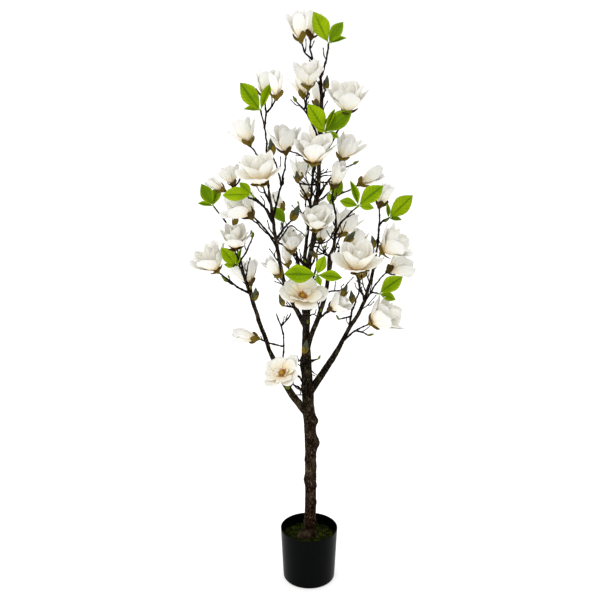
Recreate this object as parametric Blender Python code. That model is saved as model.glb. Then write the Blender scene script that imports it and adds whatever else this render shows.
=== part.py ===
# A potted artificial magnolia, about 1.6 m tall: a slim moulded trunk that forks into wired boughs,
# sprays of cloth blooms, buds and leaves on dark twigs, and a plain black pot filled to near its rim.
#
# Frame: +X to the right, +Y to the back, +Z up, in metres. The origin is the middle of the pot's
# flat underside. Every limb and every spray is one solid. Where one is carried by another, it is cut
# to its carrier with a clearance of GAP.

import math
import random

import bmesh
import bpy
import numpy as np

# Clearance between a piece and what carries it
GAP = 0.0003

# Points that a Boolean leaves closer than this are merged, by the largest that keeps the body closed
JOIN_MERGES = (0.0006, 0.0003, 0.0001, 0.00003, 0.0)
CUT_MERGES = (0.00005, 0.00002, 0.0)

# Pot, its fill and the moss on it
POT_RIM_RADIUS = 0.0825
POT_FOOT_RADIUS = 0.075
POT_HEIGHT = 0.159
POT_WALL = 0.0025
POT_FLOOR = 0.004
POT_EDGE_ROUND = 0.006
POT_SIDES = 36
FILL_TOP = 0.118
MOSS_THICKNESS = 0.009
MOSS_CROWN = 0.006
MOSS_BUMP = 0.0015
MOSS_SIDES = 16
# The rings of the mat as shares of its radius: its underside's edge, its top edge, then inwards
MOSS_RINGS = [1.0, 1.0, 0.72, 0.42, 0.10]

# Trunk: its axis, then its radius at set heights
TRUNK_AXIS = [(0.001, 0.0, FILL_TOP), (0.004, 0.0, 0.250), (0.004, 0.0, 0.370), (0.002, 0.0, 0.465),
              (-0.004, 0.0, 0.555), (-0.008, 0.0, 0.645), (-0.010, 0.0, 0.740), (-0.009, 0.0, 0.812)]
TRUNK_RADII = [(0.118, 0.0215), (0.130, 0.0185), (0.150, 0.0158), (0.200, 0.0148), (0.400, 0.0145),
               (0.500, 0.0152), (0.600, 0.0148), (0.660, 0.0138), (0.705, 0.0120), (0.760, 0.0098),
               (0.795, 0.0108), (0.812, 0.0112)]
TRUNK_SIDES = 12
TRUNK_RINGS = 22
TRUNK_FLARE_RINGS = (0.124, 0.132, 0.145)
ROOT_LOBES = 5
ROOT_LOBE_DEPTH = 0.0035
ROOT_LOBE_REACH = 0.022
# Each knot: height, bearing in degrees round the trunk (0 is +X), how far it stands out, half height
TRUNK_KNOTS = [(0.430, -14, 0.0104, 0.014), (0.495, -20, 0.0086, 0.014), (0.312, 185, 0.0040, 0.014),
               (0.575, 60, 0.0040, 0.016), (0.655, 200, 0.0035, 0.014)]

# Boughs: what carries each, its axis from inside the carrier to its tip, and its radius along it
BOUGHS = {
    "bough_left": {
        "carrier": "trunk",
        "axis": [(-0.003, 0.0, 0.512), (-0.042, -0.010, 0.566), (-0.072, -0.005, 0.615),
                 (-0.101, 0.0, 0.678), (-0.132, 0.0, 0.767), (-0.156, 0.0, 0.848), (-0.179, 0.0, 0.915)],
        "radii": [0.0100, 0.0092, 0.0078, 0.0054, 0.0054, 0.0048, 0.0038]},
    "bough_right": {
        "carrier": "trunk",
        "axis": [(-0.004, 0.0, 0.572), (0.030, 0.0, 0.624), (0.075, 0.0, 0.698), (0.105, 0.0, 0.759),
                 (0.136, 0.0, 0.816), (0.154, 0.0, 0.862), (0.168, 0.0, 0.925), (0.179, 0.0, 0.990)],
        "radii": [0.0102, 0.0094, 0.0078, 0.0054, 0.0050, 0.0046, 0.0040, 0.0034]},
    "bough_mid_left": {
        "carrier": "trunk",
        "axis": [(-0.010, 0.0, 0.768), (-0.036, -0.030, 0.826), (-0.063, -0.060, 0.895),
                 (-0.078, -0.082, 0.967), (-0.088, -0.100, 1.036), (-0.098, -0.112, 1.105),
                 (-0.104, -0.118, 1.165)],
        "radii": [0.0066, 0.0058, 0.0050, 0.0046, 0.0042, 0.0038, 0.0032]},
    "bough_mid_right": {
        "carrier": "trunk",
        "axis": [(-0.008, -0.002, 0.700), (0.006, -0.016, 0.755), (0.027, -0.014, 0.812),
                 (0.047, -0.006, 0.890), (0.052, -0.002, 0.960), (0.066, 0.0, 1.011), (0.068, 0.0, 1.080)],
        "radii": [0.0064, 0.0058, 0.0052, 0.0046, 0.0044, 0.0038, 0.0032]},
    "bough_back": {
        "carrier": "trunk",
        "axis": [(-0.009, 0.004, 0.772), (-0.016, 0.040, 0.850), (-0.014, 0.075, 0.925),
                 (-0.008, 0.100, 0.994), (0.002, 0.118, 1.100), (0.010, 0.124, 1.170)],
        "radii": [0.0062, 0.0054, 0.0048, 0.0042, 0.0038, 0.0032]},
    "leader": {
        "carrier": "trunk",
        "axis": [(-0.009, 0.0, 0.800), (-0.007, 0.0, 0.880), (-0.003, 0.0, 0.950), (0.008, 0.0, 1.015),
                 (0.018, 0.0, 1.120), (0.024, 0.0, 1.210), (0.028, 0.0, 1.330), (0.026, 0.0, 1.428)],
        "radii": [0.0080, 0.0072, 0.0064, 0.0060, 0.0056, 0.0052, 0.0046, 0.0042]},
}
BOUGH_SIDES = 6
BOUGH_STEP = 0.040

# Twigs of a spray
STEM_RADIUS = 0.0027
TWIG_RADIUS = 0.0022
TWIG_TIP_SHARE = 0.72
TWIG_SIDES = 3
TWIG_STEP = 0.048
TWIG_KINK = 0.0035
# How strongly a twig holds the way it leaves and the way it arrives
TWIG_PULL = 0.8
# A fork costs its length, and more the further it turns off, and its first way is part old, part new
FORK_TURN_COST = 0.9
FORK_OLD_WAY = 0.45

# Blooms: petals in whorls, each whorl given as
# (petals, angle from the bloom's axis at the root and at the tip, length and half width for a size of 1)
WHORLS = {
    "wide": [(3, 66, 86, 0.54, 0.20), (3, 54, 62, 0.52, 0.19), (3, 40, 40, 0.42, 0.15)],
    "open": [(3, 68, 34, 0.70, 0.22), (3, 48, 14, 0.74, 0.20)],
    "half": [(4, 50, 6, 0.98, 0.29)],
    "closed": [],
}
# The petals still folded together at the heart of a bloom: length and radius for a size of 1
HEARTS = {"open": (0.52, 0.130), "half": (0.86, 0.200), "closed": (1.0, 0.220)}
HEART_PROFILE = [(0.0, 0.22), (0.42, 1.0), (0.80, 0.84), (1.0, 0.12)]
HEART_SIDES = 5
CALYX_RADIUS = 0.0065
CALYX_LENGTH = 0.013
PETAL_THICKNESS = 0.0018
# Share of a blade's length, and its width there as a share of the widest
BLADE_OUTLINE = [(0.56, 1.0), (0.86, 0.72)]
LEAF_KNOB = 0.0034
LEAF_THICKNESS = 0.0022
LEAF_HALF_WIDTH = 0.27
# How far the sides of a petal and of a leaf rise, as a share of their distance from the middle
PETAL_CUP = 0.25
LEAF_CUP = 0.16
# The way that leaves turn their faces, in front and at the back of the crown
LEAF_FACING_FRONT = (0.0, -1.0, 0.55)
LEAF_FACING_BACK = (0.0, 1.0, 0.6)
BACK_FROM = 0.15
BUD_SLIMNESS = 0.21


def bloom(kind, foot, turn, lean, size):
    # size is the width of an open bloom, and the length of any other
    return {"kind": kind, "foot": foot, "turn": turn, "lean": lean, "size": size}


def bud(foot, turn, lean, size):
    return {"kind": "bud", "foot": foot, "turn": turn, "lean": lean, "size": size}


def bare(foot, turn, lean):
    # A twig that ends in nothing, from whose tip others may go on
    return {"kind": "bare", "foot": foot, "turn": turn, "lean": lean}


def leaves(foot, *blades):
    # Each blade: turn, lean, length and, where it is folded, its width as a share of a flat one's.
    # The first one sets the way the twig's tip points.
    return {"kind": "leaves", "foot": foot, "turn": blades[0][0], "lean": blades[0][1], "blades": blades}


# The sprays, in the order in which the tree is dressed: name, carrier, height on the carrier, and what
# its twigs end in. A foot is where the twig ends. turn is the lean to the right as seen from the front,
# and lean the lean towards the front, both in degrees from upright.
SPRAYS = [
    ("spray_low_front", "trunk", 0.560, [
        bloom("wide", (-0.070, -0.072, 0.658), -20, 40, 0.094)]),
    ("spray_low_left", "trunk", 0.592, [
        bare((-0.070, -0.022, 0.676), -8, 0),
        bud((-0.088, -0.040, 0.810), -12, 5, 0.014),
        bud((-0.050, -0.034, 0.810), 14, 5, 0.014),
        bloom("closed", (-0.141, -0.030, 0.746), -76, 5, 0.062)]),
    ("spray_low_right", "trunk", 0.655, [
        bud((-0.016, -0.052, 0.711), 14, 8, 0.042),
        bud((0.024, -0.042, 0.692), 24, 10, 0.014)]),
    ("spray_low_back", "trunk", 0.610, [
        bloom("half", (-0.008, 0.160, 0.765), 4, -28, 0.080)]),
    ("spray_left_outer", "bough_left", 0.862, [
        bloom("half", (-0.253, -0.020, 0.930), -25, 8, 0.088),
        bud((-0.222, 0.020, 0.892), -50, -5, 0.024)]),
    ("spray_left_back", "bough_left", 0.790, [
        bloom("half", (-0.166, 0.110, 0.861), -20, -12, 0.080)]),
    ("spray_left_bud", "bough_left", 0.832, [
        bud((-0.148, -0.024, 0.852), 10, 18, 0.040)]),
    ("spray_left_tip", "bough_left", 0.915, [
        bloom("half", (-0.191, -0.080, 1.006), 15, 22, 0.084),
        leaves((-0.194, -0.040, 0.950), (-34, 15, 0.066), (20, 20, 0.056, 0.5), (-82, 15, 0.032)),
        bud((-0.152, -0.010, 1.020), -8, 5, 0.022)]),
    ("spray_left_high", "bough_left", 0.880, [
        bud((-0.205, 0.050, 1.040), 20, -10, 0.036),
        bud((-0.214, 0.020, 1.010), 8, 5, 0.034),
        leaves((-0.257, 0.030, 1.097), (-28, 5, 0.066), (-78, 10, 0.042, 0.6), (10, -30, 0.055))]),
    ("spray_mid_left_low", "bough_mid_left", 0.885, [
        bloom("closed", (-0.076, -0.130, 0.945), -48, 10, 0.062)]),
    ("spray_mid_left_side", "bough_mid_left", 1.005, [
        bloom("half", (-0.150, -0.118, 1.096), -48, 18, 0.096)]),
    ("spray_mid_left_bud", "bough_mid_left", 1.030, [
        bud((-0.048, -0.068, 1.076), 28, 10, 0.048)]),
    ("spray_mid_left_leaves", "bough_mid_left", 1.085, [
        leaves((-0.149, -0.060, 1.135), (-82, 10, 0.074), (-38, 8, 0.046)),
        bloom("closed", (-0.230, 0.040, 1.138), -58, -5, 0.052),
        bloom("half", (-0.209, 0.100, 1.143), -16, -15, 0.058),
        bud((-0.170, 0.060, 1.200), -62, -5, 0.022)]),
    ("spray_mid_left_front", "bough_mid_left", 1.085, [
        bloom("half", (-0.062, -0.052, 1.245), -4, 4, 0.078),
        bud((-0.094, -0.120, 1.247), -5, 6, 0.042)]),
    ("spray_mid_left_bloom", "bough_mid_left", 1.128, [
        bloom("open", (-0.118, -0.172, 1.182), -12, 20, 0.110)]),
    ("spray_mid_left_tip", "bough_mid_left", 1.165, [
        leaves((-0.122, -0.114, 1.354), (-38, 12, 0.082), (24, 12, 0.074, 0.5), (-84, 30, 0.044, 0.6)),
        bloom("closed", (-0.113, -0.085, 1.385), -3, 0, 0.064),
        bloom("closed", (-0.083, -0.140, 1.384), 0, 8, 0.066),
        bloom("half", (-0.158, 0.020, 1.260), -24, -18, 0.072)]),
    ("spray_top", "leader", 1.428, [
        leaves((0.045, 0.000, 1.511), (-27, 8, 0.084), (34, 12, 0.062), (73, 10, 0.046, 0.6)),
        bloom("closed", (0.001, 0.032, 1.531), 8, -5, 0.068),
        bloom("half", (-0.024, -0.030, 1.517), -13, 5, 0.074)]),
    ("spray_high_left", "leader", 1.262, [
        bloom("half", (-0.006, -0.060, 1.405), -8, 10, 0.076),
        bloom("half", (-0.018, 0.025, 1.381), -4, -20, 0.062),
        bud((-0.036, -0.015, 1.370), -30, 0, 0.018)]),
    ("spray_high_bud", "leader", 1.360, [
        bud((0.038, -0.012, 1.398), 9, 6, 0.038)]),
    ("spray_high_front_bud", "leader", 1.300, [
        bud((0.020, -0.030, 1.340), -8, 8, 0.034)]),
    ("spray_high_right", "leader", 1.215, [
        bloom("open", (0.092, -0.050, 1.344), -5, 22, 0.112),
        leaves((0.038, -0.052, 1.297), (-32, 12, 0.084), (52, 12, 0.084), (20, 0, 0.062, 0.4),
               (112, 0, 0.034), (-58, 20, 0.034))]),
    ("spray_high_back", "leader", 1.255, [
        bloom("closed", (0.019, 0.095, 1.354), 0, -10, 0.058)]),
    ("spray_front_high", "leader", 1.130, [
        bloom("open", (0.005, -0.118, 1.224), 8, 22, 0.113),
        bud((-0.030, -0.050, 1.176), -25, 10, 0.022)]),
    ("spray_right_high", "leader", 1.120, [
        bloom("half", (0.088, 0.030, 1.219), 26, 0, 0.078),
        bud((0.114, 0.030, 1.208), 60, 0, 0.018)]),
    ("spray_left_high_back", "leader", 1.080, [
        bloom("half", (-0.033, 0.050, 1.164), 14, -8, 0.060)]),
    ("spray_front_middle", "leader", 0.975, [
        bloom("half", (0.014, -0.100, 1.056), 3, 16, 0.088)]),
    ("spray_back_middle", "leader", 0.920, [
        bloom("half", (0.029, 0.080, 0.989), 8, -8, 0.058)]),
    ("spray_left_middle", "leader", 0.890, [
        bloom("half", (-0.049, 0.020, 0.973), 0, 2, 0.070),
        leaves((-0.064, 0.050, 1.046), (-38, 0, 0.058))]),
    ("spray_front_low", "leader", 0.880, [
        leaves((0.016, -0.143, 0.951), (-82, 22, 0.088, 1.1), (22, 5, 0.052), (98, 4, 0.064, 0.8),
               (160, 40, 0.030))]),
    ("spray_front_bloom", "trunk", 0.735, [
        bloom("wide", (-0.019, -0.131, 0.890), 10, 42, 0.132),
        bud((-0.062, -0.076, 0.853), -20, 10, 0.034)]),
    ("spray_mid_right_low", "bough_mid_right", 0.785, [
        bloom("half", (0.050, -0.080, 0.843), 58, 10, 0.064),
        bud((0.082, -0.092, 0.881), 26, 8, 0.036)]),
    ("spray_mid_right_back", "bough_mid_right", 0.890, [
        bloom("half", (0.086, 0.140, 0.994), 26, -10, 0.088),
        bloom("half", (0.130, 0.170, 0.945), 12, -22, 0.068)]),
    ("spray_mid_right_bud", "bough_mid_right", 0.960, [
        bud((0.090, -0.040, 1.010), 40, 15, 0.046)]),
    ("spray_mid_right_leaves", "bough_mid_right", 1.030, [
        leaves((0.123, -0.060, 1.112), (46, 10, 0.082), (-16, 5, 0.068, 0.5), (-74, 0, 0.050),
               (92, 20, 0.040))]),
    ("spray_mid_right_tip", "bough_mid_right", 1.080, [
        bloom("closed", (0.058, -0.050, 1.158), 20, 8, 0.070),
        leaves((0.060, 0.012, 1.118), (22, 0, 0.056)),
        bloom("closed", (0.135, 0.100, 1.145), 58, -10, 0.074)]),
    ("spray_right_low", "bough_right", 0.728, [
        bloom("half", (0.158, -0.060, 0.801), 50, 12, 0.088),
        bud((0.160, 0.000, 0.745), 75, 0, 0.018)]),
    ("spray_right_bud", "bough_right", 0.765, [
        bud((0.114, -0.026, 0.845), -5, 5, 0.036),
        bud((0.078, -0.030, 0.800), -30, 5, 0.016)]),
    ("spray_right_front", "bough_right", 0.845, [
        bloom("open", (0.117, -0.120, 0.952), 2, 28, 0.124)]),
    ("spray_right_outer", "bough_right", 0.830, [
        bloom("half", (0.220, 0.110, 0.898), 62, -5, 0.078),
        leaves((0.188, -0.055, 0.878), (48, 12, 0.080), (104, 15, 0.046))]),
    ("spray_right_back", "bough_right", 0.742, [
        bloom("half", (0.150, 0.215, 0.852), 10, -36, 0.078)]),
    ("spray_right_side", "bough_right", 0.915, [
        bloom("half", (0.196, -0.034, 0.985), 54, 8, 0.080)]),
    ("spray_right_tip", "bough_right", 0.990, [
        bloom("closed", (0.186, 0.040, 1.094), 20, 0, 0.064),
        leaves((0.209, 0.020, 1.066), (46, 10, 0.088), (-6, 5, 0.042, 0.5), (92, 20, 0.036, 0.7)),
        bud((0.169, -0.030, 0.998), -12, 10, 0.034)]),
    ("spray_back_low", "bough_back", 0.850, [
        bloom("closed", (-0.061, 0.140, 0.908), -6, -10, 0.058)]),
    ("spray_back_middle_right", "bough_back", 0.900, [
        bloom("half", (0.030, 0.225, 1.005), 6, -32, 0.082)]),
    ("spray_back_left", "bough_back", 0.925, [
        bloom("half", (-0.165, 0.195, 1.035), -32, -22, 0.080),
        bloom("closed", (-0.074, 0.160, 1.068), -36, -5, 0.054)]),
    ("spray_back_high", "bough_back", 1.030, [
        bloom("closed", (-0.010, 0.196, 1.092), -5, -14, 0.050),
        leaves((0.056, 0.190, 1.110), (40, -25, 0.070), (-10, -30, 0.064), (88, -20, 0.045))]),
    ("spray_back_tip", "bough_back", 1.170, [
        bloom("half", (0.022, 0.180, 1.245), 8, -22, 0.068),
        bloom("half", (-0.062, 0.170, 1.232), -14, -22, 0.062)]),
]


def unit(vector):
    vector = np.asarray(vector, float)
    return vector / np.linalg.norm(vector)


def heading(turn, lean):
    # The direction that leans turn degrees to the right and lean degrees to the front
    turn, lean = math.radians(turn), math.radians(lean)
    return np.array([math.sin(turn) * math.cos(lean), -math.sin(lean), math.cos(turn) * math.cos(lean)])


def smooth_curve(points, step):
    # A Catmull-Rom curve through the points, read about every step metres
    points = np.asarray(points, float)
    before = 2 * points[0] - points[1]
    after = 2 * points[-1] - points[-2]
    held = np.vstack([before, points, after])
    curve = []
    for a, b, c, d in zip(held, held[1:], held[2:], held[3:]):
        count = max(1, round(float(np.linalg.norm(c - b)) / step))
        for i in range(count):
            t = i / count
            curve.append(0.5 * (2 * b + (c - a) * t + (2 * a - 5 * b + 4 * c - d) * t ** 2
                                + (3 * b - a - 3 * c + d) * t ** 3))
    curve.append(points[-1])
    return np.array(curve)


def ring_frames(path):
    # Two directions across the path at each of its points, carried along it without twisting
    path = np.asarray(path, float)
    along = np.gradient(path, axis=0)
    first = unit(along[0])
    side = unit(np.cross(first, [0.31, 0.87, 0.38]))
    frames = []
    for direction in along:
        direction = unit(direction)
        side = unit(side - direction * float(side @ direction))
        frames.append((side, np.cross(direction, side)))
    return frames


def tube(path, radii, sides):
    # A closed tube of flat sides along the path
    verts = []
    for point, (side, up), radius in zip(path, ring_frames(path), radii):
        for i in range(sides):
            angle = 2 * math.pi * i / sides
            verts.append(point + radius * (math.cos(angle) * side + math.sin(angle) * up))
    return verts, tube_faces(len(path), sides)


def tube_faces(rings, sides):
    faces = [tuple(reversed(range(sides)))]
    for ring in range(rings - 1):
        for i in range(sides):
            j = (i + 1) % sides
            low, high = ring * sides, (ring + 1) * sides
            faces.append((low + i, low + j, high + j))
            faces.append((low + i, high + j, high + i))
    faces.append(tuple((rings - 1) * sides + i for i in range(sides)))
    return faces


def turned(foot, axis, heights, radii, sides):
    # A closed faceted body turned about the axis
    path = [np.asarray(foot, float) + axis * h for h in heights]
    return tube(path, radii, sides)


def blade(midline, across, cup, half_width, thickness):
    # A petal or leaf of twelve faces. midline is a function of the share of the length, across points
    # to the blade's right, and cup is how far the sides rise towards its inner face.
    inward = unit(np.cross(midline(0.62) - midline(0.0), across))
    sides = [(midline(share), width * half_width) for share, width in BLADE_OUTLINE]
    rim = [midline(0.0)]
    rim += [place + (across + inward * cup) * width for place, width in sides]
    rim.append(midline(1.0))
    rim += [place + (inward * cup - across) * width for place, width in reversed(sides)]
    middle = midline(0.62)
    verts = rim + [middle + inward * thickness / 2, middle - inward * thickness / 2]
    faces = []
    for i in range(6):
        j = (i + 1) % 6
        faces.append((i, j, 6))
        faces.append((j, i, 7))
    return verts, faces


def arc_midline(root, out, axis, angle_root, angle_tip, length):
    # A curve that leaves the root at one angle from the axis and reaches the tip at another
    def place(share):
        steps = 8
        point = np.array(root, float)
        for i in range(steps):
            s = share * (i + 0.5) / steps
            angle = math.radians(angle_root + (angle_tip - angle_root) * s)
            point = point + (out * math.sin(angle) + axis * math.cos(angle)) * length * share / steps
        return point
    return place


def bloom_parts(item, chance):
    foot, size = np.array(item["foot"]), item["size"]
    axis = heading(item["turn"], item["lean"])
    side = unit(np.cross(axis, [0.2, 0.9, 0.3]))
    front = np.cross(axis, side)
    parts = [turned(foot - axis * 0.003, axis, [0, CALYX_LENGTH], [CALYX_RADIUS * 0.6, CALYX_RADIUS], 5)]
    root = foot + axis * 0.004
    if item["kind"] in HEARTS:
        length, radius = HEARTS[item["kind"]]
        parts.append(turned(root, axis, [h * length * size for h, r in HEART_PROFILE],
                            [r * radius * size for h, r in HEART_PROFILE], HEART_SIDES))
    start = chance.uniform(0, 120)
    for number, (petals, angle_root, angle_tip, length, half_width) in enumerate(WHORLS[item["kind"]]):
        for i in range(petals):
            bearing = math.radians(start + number * 60 + 360 * i / petals + chance.uniform(-7, 7))
            out = side * math.cos(bearing) + front * math.sin(bearing)
            across = np.cross(axis, out)
            midline = arc_midline(root, out, axis, angle_root + chance.uniform(-5, 5), angle_tip,
                                  size * length)
            parts.append(blade(midline, -across, PETAL_CUP, size * half_width, PETAL_THICKNESS))
    return parts


def leaf_parts(item, chance):
    way = heading(item["turn"], item["lean"])
    parts = [turned(np.array(item["foot"]) - way * LEAF_KNOB, way, [0, 2 * LEAF_KNOB],
                    [LEAF_KNOB, LEAF_KNOB * 0.8], 5)]
    for turn, lean, length, *share in item["blades"]:
        along = heading(turn, lean)
        facing = LEAF_FACING_FRONT if item["foot"][1] < BACK_FROM else LEAF_FACING_BACK
        across = unit(np.cross(along, unit(facing)))
        facing = np.cross(across, along)
        root = np.array(item["foot"]) - along * 0.0005
        droop = chance.uniform(-0.10, 0.02)

        def midline(share, root=root, along=along, facing=facing, length=length, droop=droop):
            return root + along * length * share + facing * length * droop * share * share

        half_width = length * LEAF_HALF_WIDTH * (share[0] if share else 1.0)
        parts.append(blade(midline, -across, LEAF_CUP, half_width, LEAF_THICKNESS))
    return parts


def bud_parts(item):
    axis = heading(item["turn"], item["lean"])
    size = item["size"]
    radius = max(size * BUD_SLIMNESS, TWIG_RADIUS * 1.15)
    return [turned(np.array(item["foot"]) - axis * 0.002, axis, [0, size * 0.42, size],
                   [radius * 0.55, radius, radius * 0.16], 5)]


def twig_path(start, start_way, end, end_way, chance):
    # A curve between two places with a way to leave and a way to arrive, kinked at its inner points
    start, end = np.asarray(start, float), np.asarray(end, float)
    length = float(np.linalg.norm(end - start))
    count = max(2, round(length / TWIG_STEP))
    path = []
    leave, arrive = length * TWIG_PULL * start_way, length * TWIG_PULL * end_way
    for i in range(count + 1):
        t = i / count
        point = ((2 * t ** 3 - 3 * t ** 2 + 1) * start + (t ** 3 - 2 * t ** 2 + t) * leave
                 + (3 * t ** 2 - 2 * t ** 3) * end + (t ** 3 - t ** 2) * arrive)
        if 0 < i < count:
            kink = np.array([chance.uniform(-1, 1) for _ in range(3)])
            point = point + kink * TWIG_KINK
        path.append(point)
    return np.array(path)


def best_fork(twigs, foot):
    # The place on the spray's twigs from which a new twig is short and turns off little
    best = None
    for path in twigs:
        for i in range(1, len(path)):
            reach = foot - path[i]
            length = float(np.linalg.norm(reach))
            along = unit(path[min(i + 1, len(path) - 1)] - path[i - 1])
            cost = length * (1 + FORK_TURN_COST * (1 - float(along @ reach) / length))
            if best is None or cost < best[0]:
                way = FORK_OLD_WAY * along + (1 - FORK_OLD_WAY) * reach / length
                best = (cost, path[i], unit(way))
    return best[1], best[2]


def spray_parts(name, root, root_way, items):
    # One stem from the limb to the first item, then for each other item a twig from the best fork
    twigs, parts = [], []
    for number, item in enumerate(items):
        chance = random.Random(f"{name} {number}")
        foot = np.array(item["foot"])
        end_way = heading(item["turn"], item["lean"])
        if number == 0:
            start, way, radius = root, unit(0.5 * root_way + unit(foot - root)), STEM_RADIUS
        else:
            (start, way), radius = best_fork(twigs, foot), TWIG_RADIUS
        path = twig_path(start, way, foot, unit(end_way + 0.6 * unit(foot - start)), chance)
        twigs.append(path if item["kind"] == "bare" else path[:-1])
        radii = np.linspace(radius, TWIG_RADIUS * TWIG_TIP_SHARE, len(path))
        parts.append(tube(path, radii, TWIG_SIDES))
        if item["kind"] == "leaves":
            parts += leaf_parts(item, chance)
        elif item["kind"] == "bud":
            parts += bud_parts(item)
        elif item["kind"] != "bare":
            parts += bloom_parts(item, chance)
    return parts


def material(name, colour, roughness):
    made = bpy.data.materials.get(name)
    if made is None:
        made = bpy.data.materials.new(name)
        made.use_nodes = True
        shader = made.node_tree.nodes["Principled BSDF"]
        shader.inputs["Base Color"].default_value = (*colour, 1.0)
        shader.inputs["Roughness"].default_value = roughness
    return made


def add_object(name, verts, faces, made=None):
    mesh = bpy.data.meshes.new(name)
    mesh.from_pydata([tuple(float(c) for c in v) for v in verts], [], faces)
    work = bmesh.new()
    work.from_mesh(mesh)
    bmesh.ops.recalc_face_normals(work, faces=work.faces)
    work.to_mesh(mesh)
    work.free()
    piece = bpy.data.objects.new(name, mesh)
    bpy.context.scene.collection.objects.link(piece)
    if made:
        mesh.materials.append(made)
    return piece


def apply_boolean(piece, operation, others):
    # One Boolean with a collection of other objects, applied, with those objects then removed
    group = bpy.data.collections.new("joined")
    bpy.context.scene.collection.children.link(group)
    for other in others:
        bpy.context.scene.collection.objects.unlink(other)
        group.objects.link(other)
    step = piece.modifiers.new("join", "BOOLEAN")
    step.operation = operation
    step.operand_type = "COLLECTION"
    step.collection = group
    step.solver = "EXACT"
    bpy.context.view_layer.update()
    shape = bpy.data.meshes.new_from_object(piece.evaluated_get(bpy.context.evaluated_depsgraph_get()))
    piece.modifiers.clear()
    old = piece.data
    piece.data = shape
    bpy.data.meshes.remove(old)
    for other in others:
        bpy.data.objects.remove(other)
    bpy.data.collections.remove(group)


def islands(work):
    # The separate bodies of a mesh, each as a list of faces
    left, found = set(work.faces), []
    while left:
        seed = left.pop()
        island, edge = [seed], [seed]
        while edge:
            face = edge.pop()
            for line in face.edges:
                for other in line.link_faces:
                    if other in left:
                        left.discard(other)
                        island.append(other)
                        edge.append(other)
        found.append(island)
    return found


def is_closed(work):
    return all(len(edge.link_faces) == 2 for edge in work.edges)


def keep_largest(piece, distances):
    # Drop loose scraps and sealed hollows, and merge points that a Boolean leaves almost together
    for distance in distances:
        work = bmesh.new()
        work.from_mesh(piece.data)
        bmesh.ops.triangulate(work, faces=work.faces)
        if distance:
            bmesh.ops.remove_doubles(work, verts=work.verts, dist=distance)
            bmesh.ops.dissolve_degenerate(work, edges=work.edges, dist=distance)
            bmesh.ops.triangulate(work, faces=work.faces)
        bodies = sorted(islands(work), key=len)
        for body in bodies[:-1]:
            bmesh.ops.delete(work, geom=body, context="FACES")
        loose = [v for v in work.verts if not v.link_faces]
        bmesh.ops.delete(work, geom=loose, context="VERTS")
        done = is_closed(work)
        if done or distance == distances[-1]:
            work.to_mesh(piece.data)
        work.free()
        if done:
            return


def trunk_radius(height, bearing, grow):
    heights, radii = zip(*TRUNK_RADII)
    radius = float(np.interp(height, heights, radii)) + grow
    fade = math.exp(-(height - FILL_TOP) / ROOT_LOBE_REACH)
    radius += ROOT_LOBE_DEPTH * fade * math.sin(ROOT_LOBES * bearing + 0.6)
    for knot_height, knot_bearing, depth, half_height in TRUNK_KNOTS:
        away = math.cos(bearing - math.radians(knot_bearing))
        if away > 0:
            radius += depth * away ** 3 * math.exp(-((height - knot_height) / half_height) ** 2)
    return radius


def trunk_shape(grow=0.0):
    axis = smooth_curve(TRUNK_AXIS, 0.01)
    top = TRUNK_AXIS[-1][2]
    levels = {round(FILL_TOP + (top - FILL_TOP) * i / TRUNK_RINGS, 4) for i in range(TRUNK_RINGS + 1)}
    levels = sorted(levels | set(TRUNK_FLARE_RINGS))
    verts = []
    for number, height in enumerate(levels):
        x = float(np.interp(height, axis[:, 2], axis[:, 0]))
        y = float(np.interp(height, axis[:, 2], axis[:, 1]))
        z = height + (grow if number == len(levels) - 1 else -grow if number == 0 else 0)
        for i in range(TRUNK_SIDES):
            bearing = 2 * math.pi * i / TRUNK_SIDES
            radius = trunk_radius(height, bearing, grow)
            verts.append((x + radius * math.cos(bearing), y + radius * math.sin(bearing), z))
    return verts, tube_faces(len(levels), TRUNK_SIDES)


def bough_curve(name):
    return smooth_curve(BOUGHS[name]["axis"], BOUGH_STEP)


def bough_shape(name, grow=0.0):
    path = bough_curve(name)
    knots = np.linspace(0, 1, len(BOUGHS[name]["radii"]))
    lengths = np.concatenate([[0], np.cumsum(np.linalg.norm(np.diff(path, axis=0), axis=1))])
    radii = np.interp(lengths / lengths[-1], knots, BOUGHS[name]["radii"]) + grow
    path[-1] = path[-1] + unit(path[-1] - path[-2]) * grow
    return tube(path, radii, BOUGH_SIDES)


def limb_shape(name, grow=0.0):
    return trunk_shape(grow) if name == "trunk" else bough_shape(name, grow)


def limb_place(name, height):
    # The point on a limb's axis at a height, and the way the limb runs there
    path = smooth_curve(TRUNK_AXIS, 0.01) if name == "trunk" else bough_curve(name)
    point = np.array([np.interp(height, path[:, 2], path[:, i]) for i in range(3)])
    near = min(max(int(np.searchsorted(path[:, 2], height)), 1), len(path) - 1)
    return point, unit(path[near] - path[near - 1])


def seat(piece, carrier):
    # Cut the piece to its carrier, leaving the clearance
    verts, faces = limb_shape(carrier, GAP)
    apply_boolean(piece, "DIFFERENCE", [add_object("cutter", verts, faces)])
    keep_largest(piece, CUT_MERGES)


def make_trunk():
    add_object("trunk", *trunk_shape(), material("bark", (0.035, 0.022, 0.015), 0.85))


def make_boughs():
    bark = material("bark", (0.035, 0.022, 0.015), 0.85)
    for name in BOUGHS:
        piece = add_object(name, *bough_shape(name), bark)
        seat(piece, BOUGHS[name]["carrier"])


def make_sprays():
    cloth = material("silk blossom", (0.85, 0.82, 0.76), 0.75)
    for name, carrier, height, items in SPRAYS:
        root, way = limb_place(carrier, height)
        parts = spray_parts(name, root, way, items)
        first = add_object(name, *parts[0], cloth)
        apply_boolean(first, "UNION", [add_object("part", *part) for part in parts[1:]])
        keep_largest(first, JOIN_MERGES)
        seat(first, carrier)


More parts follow.
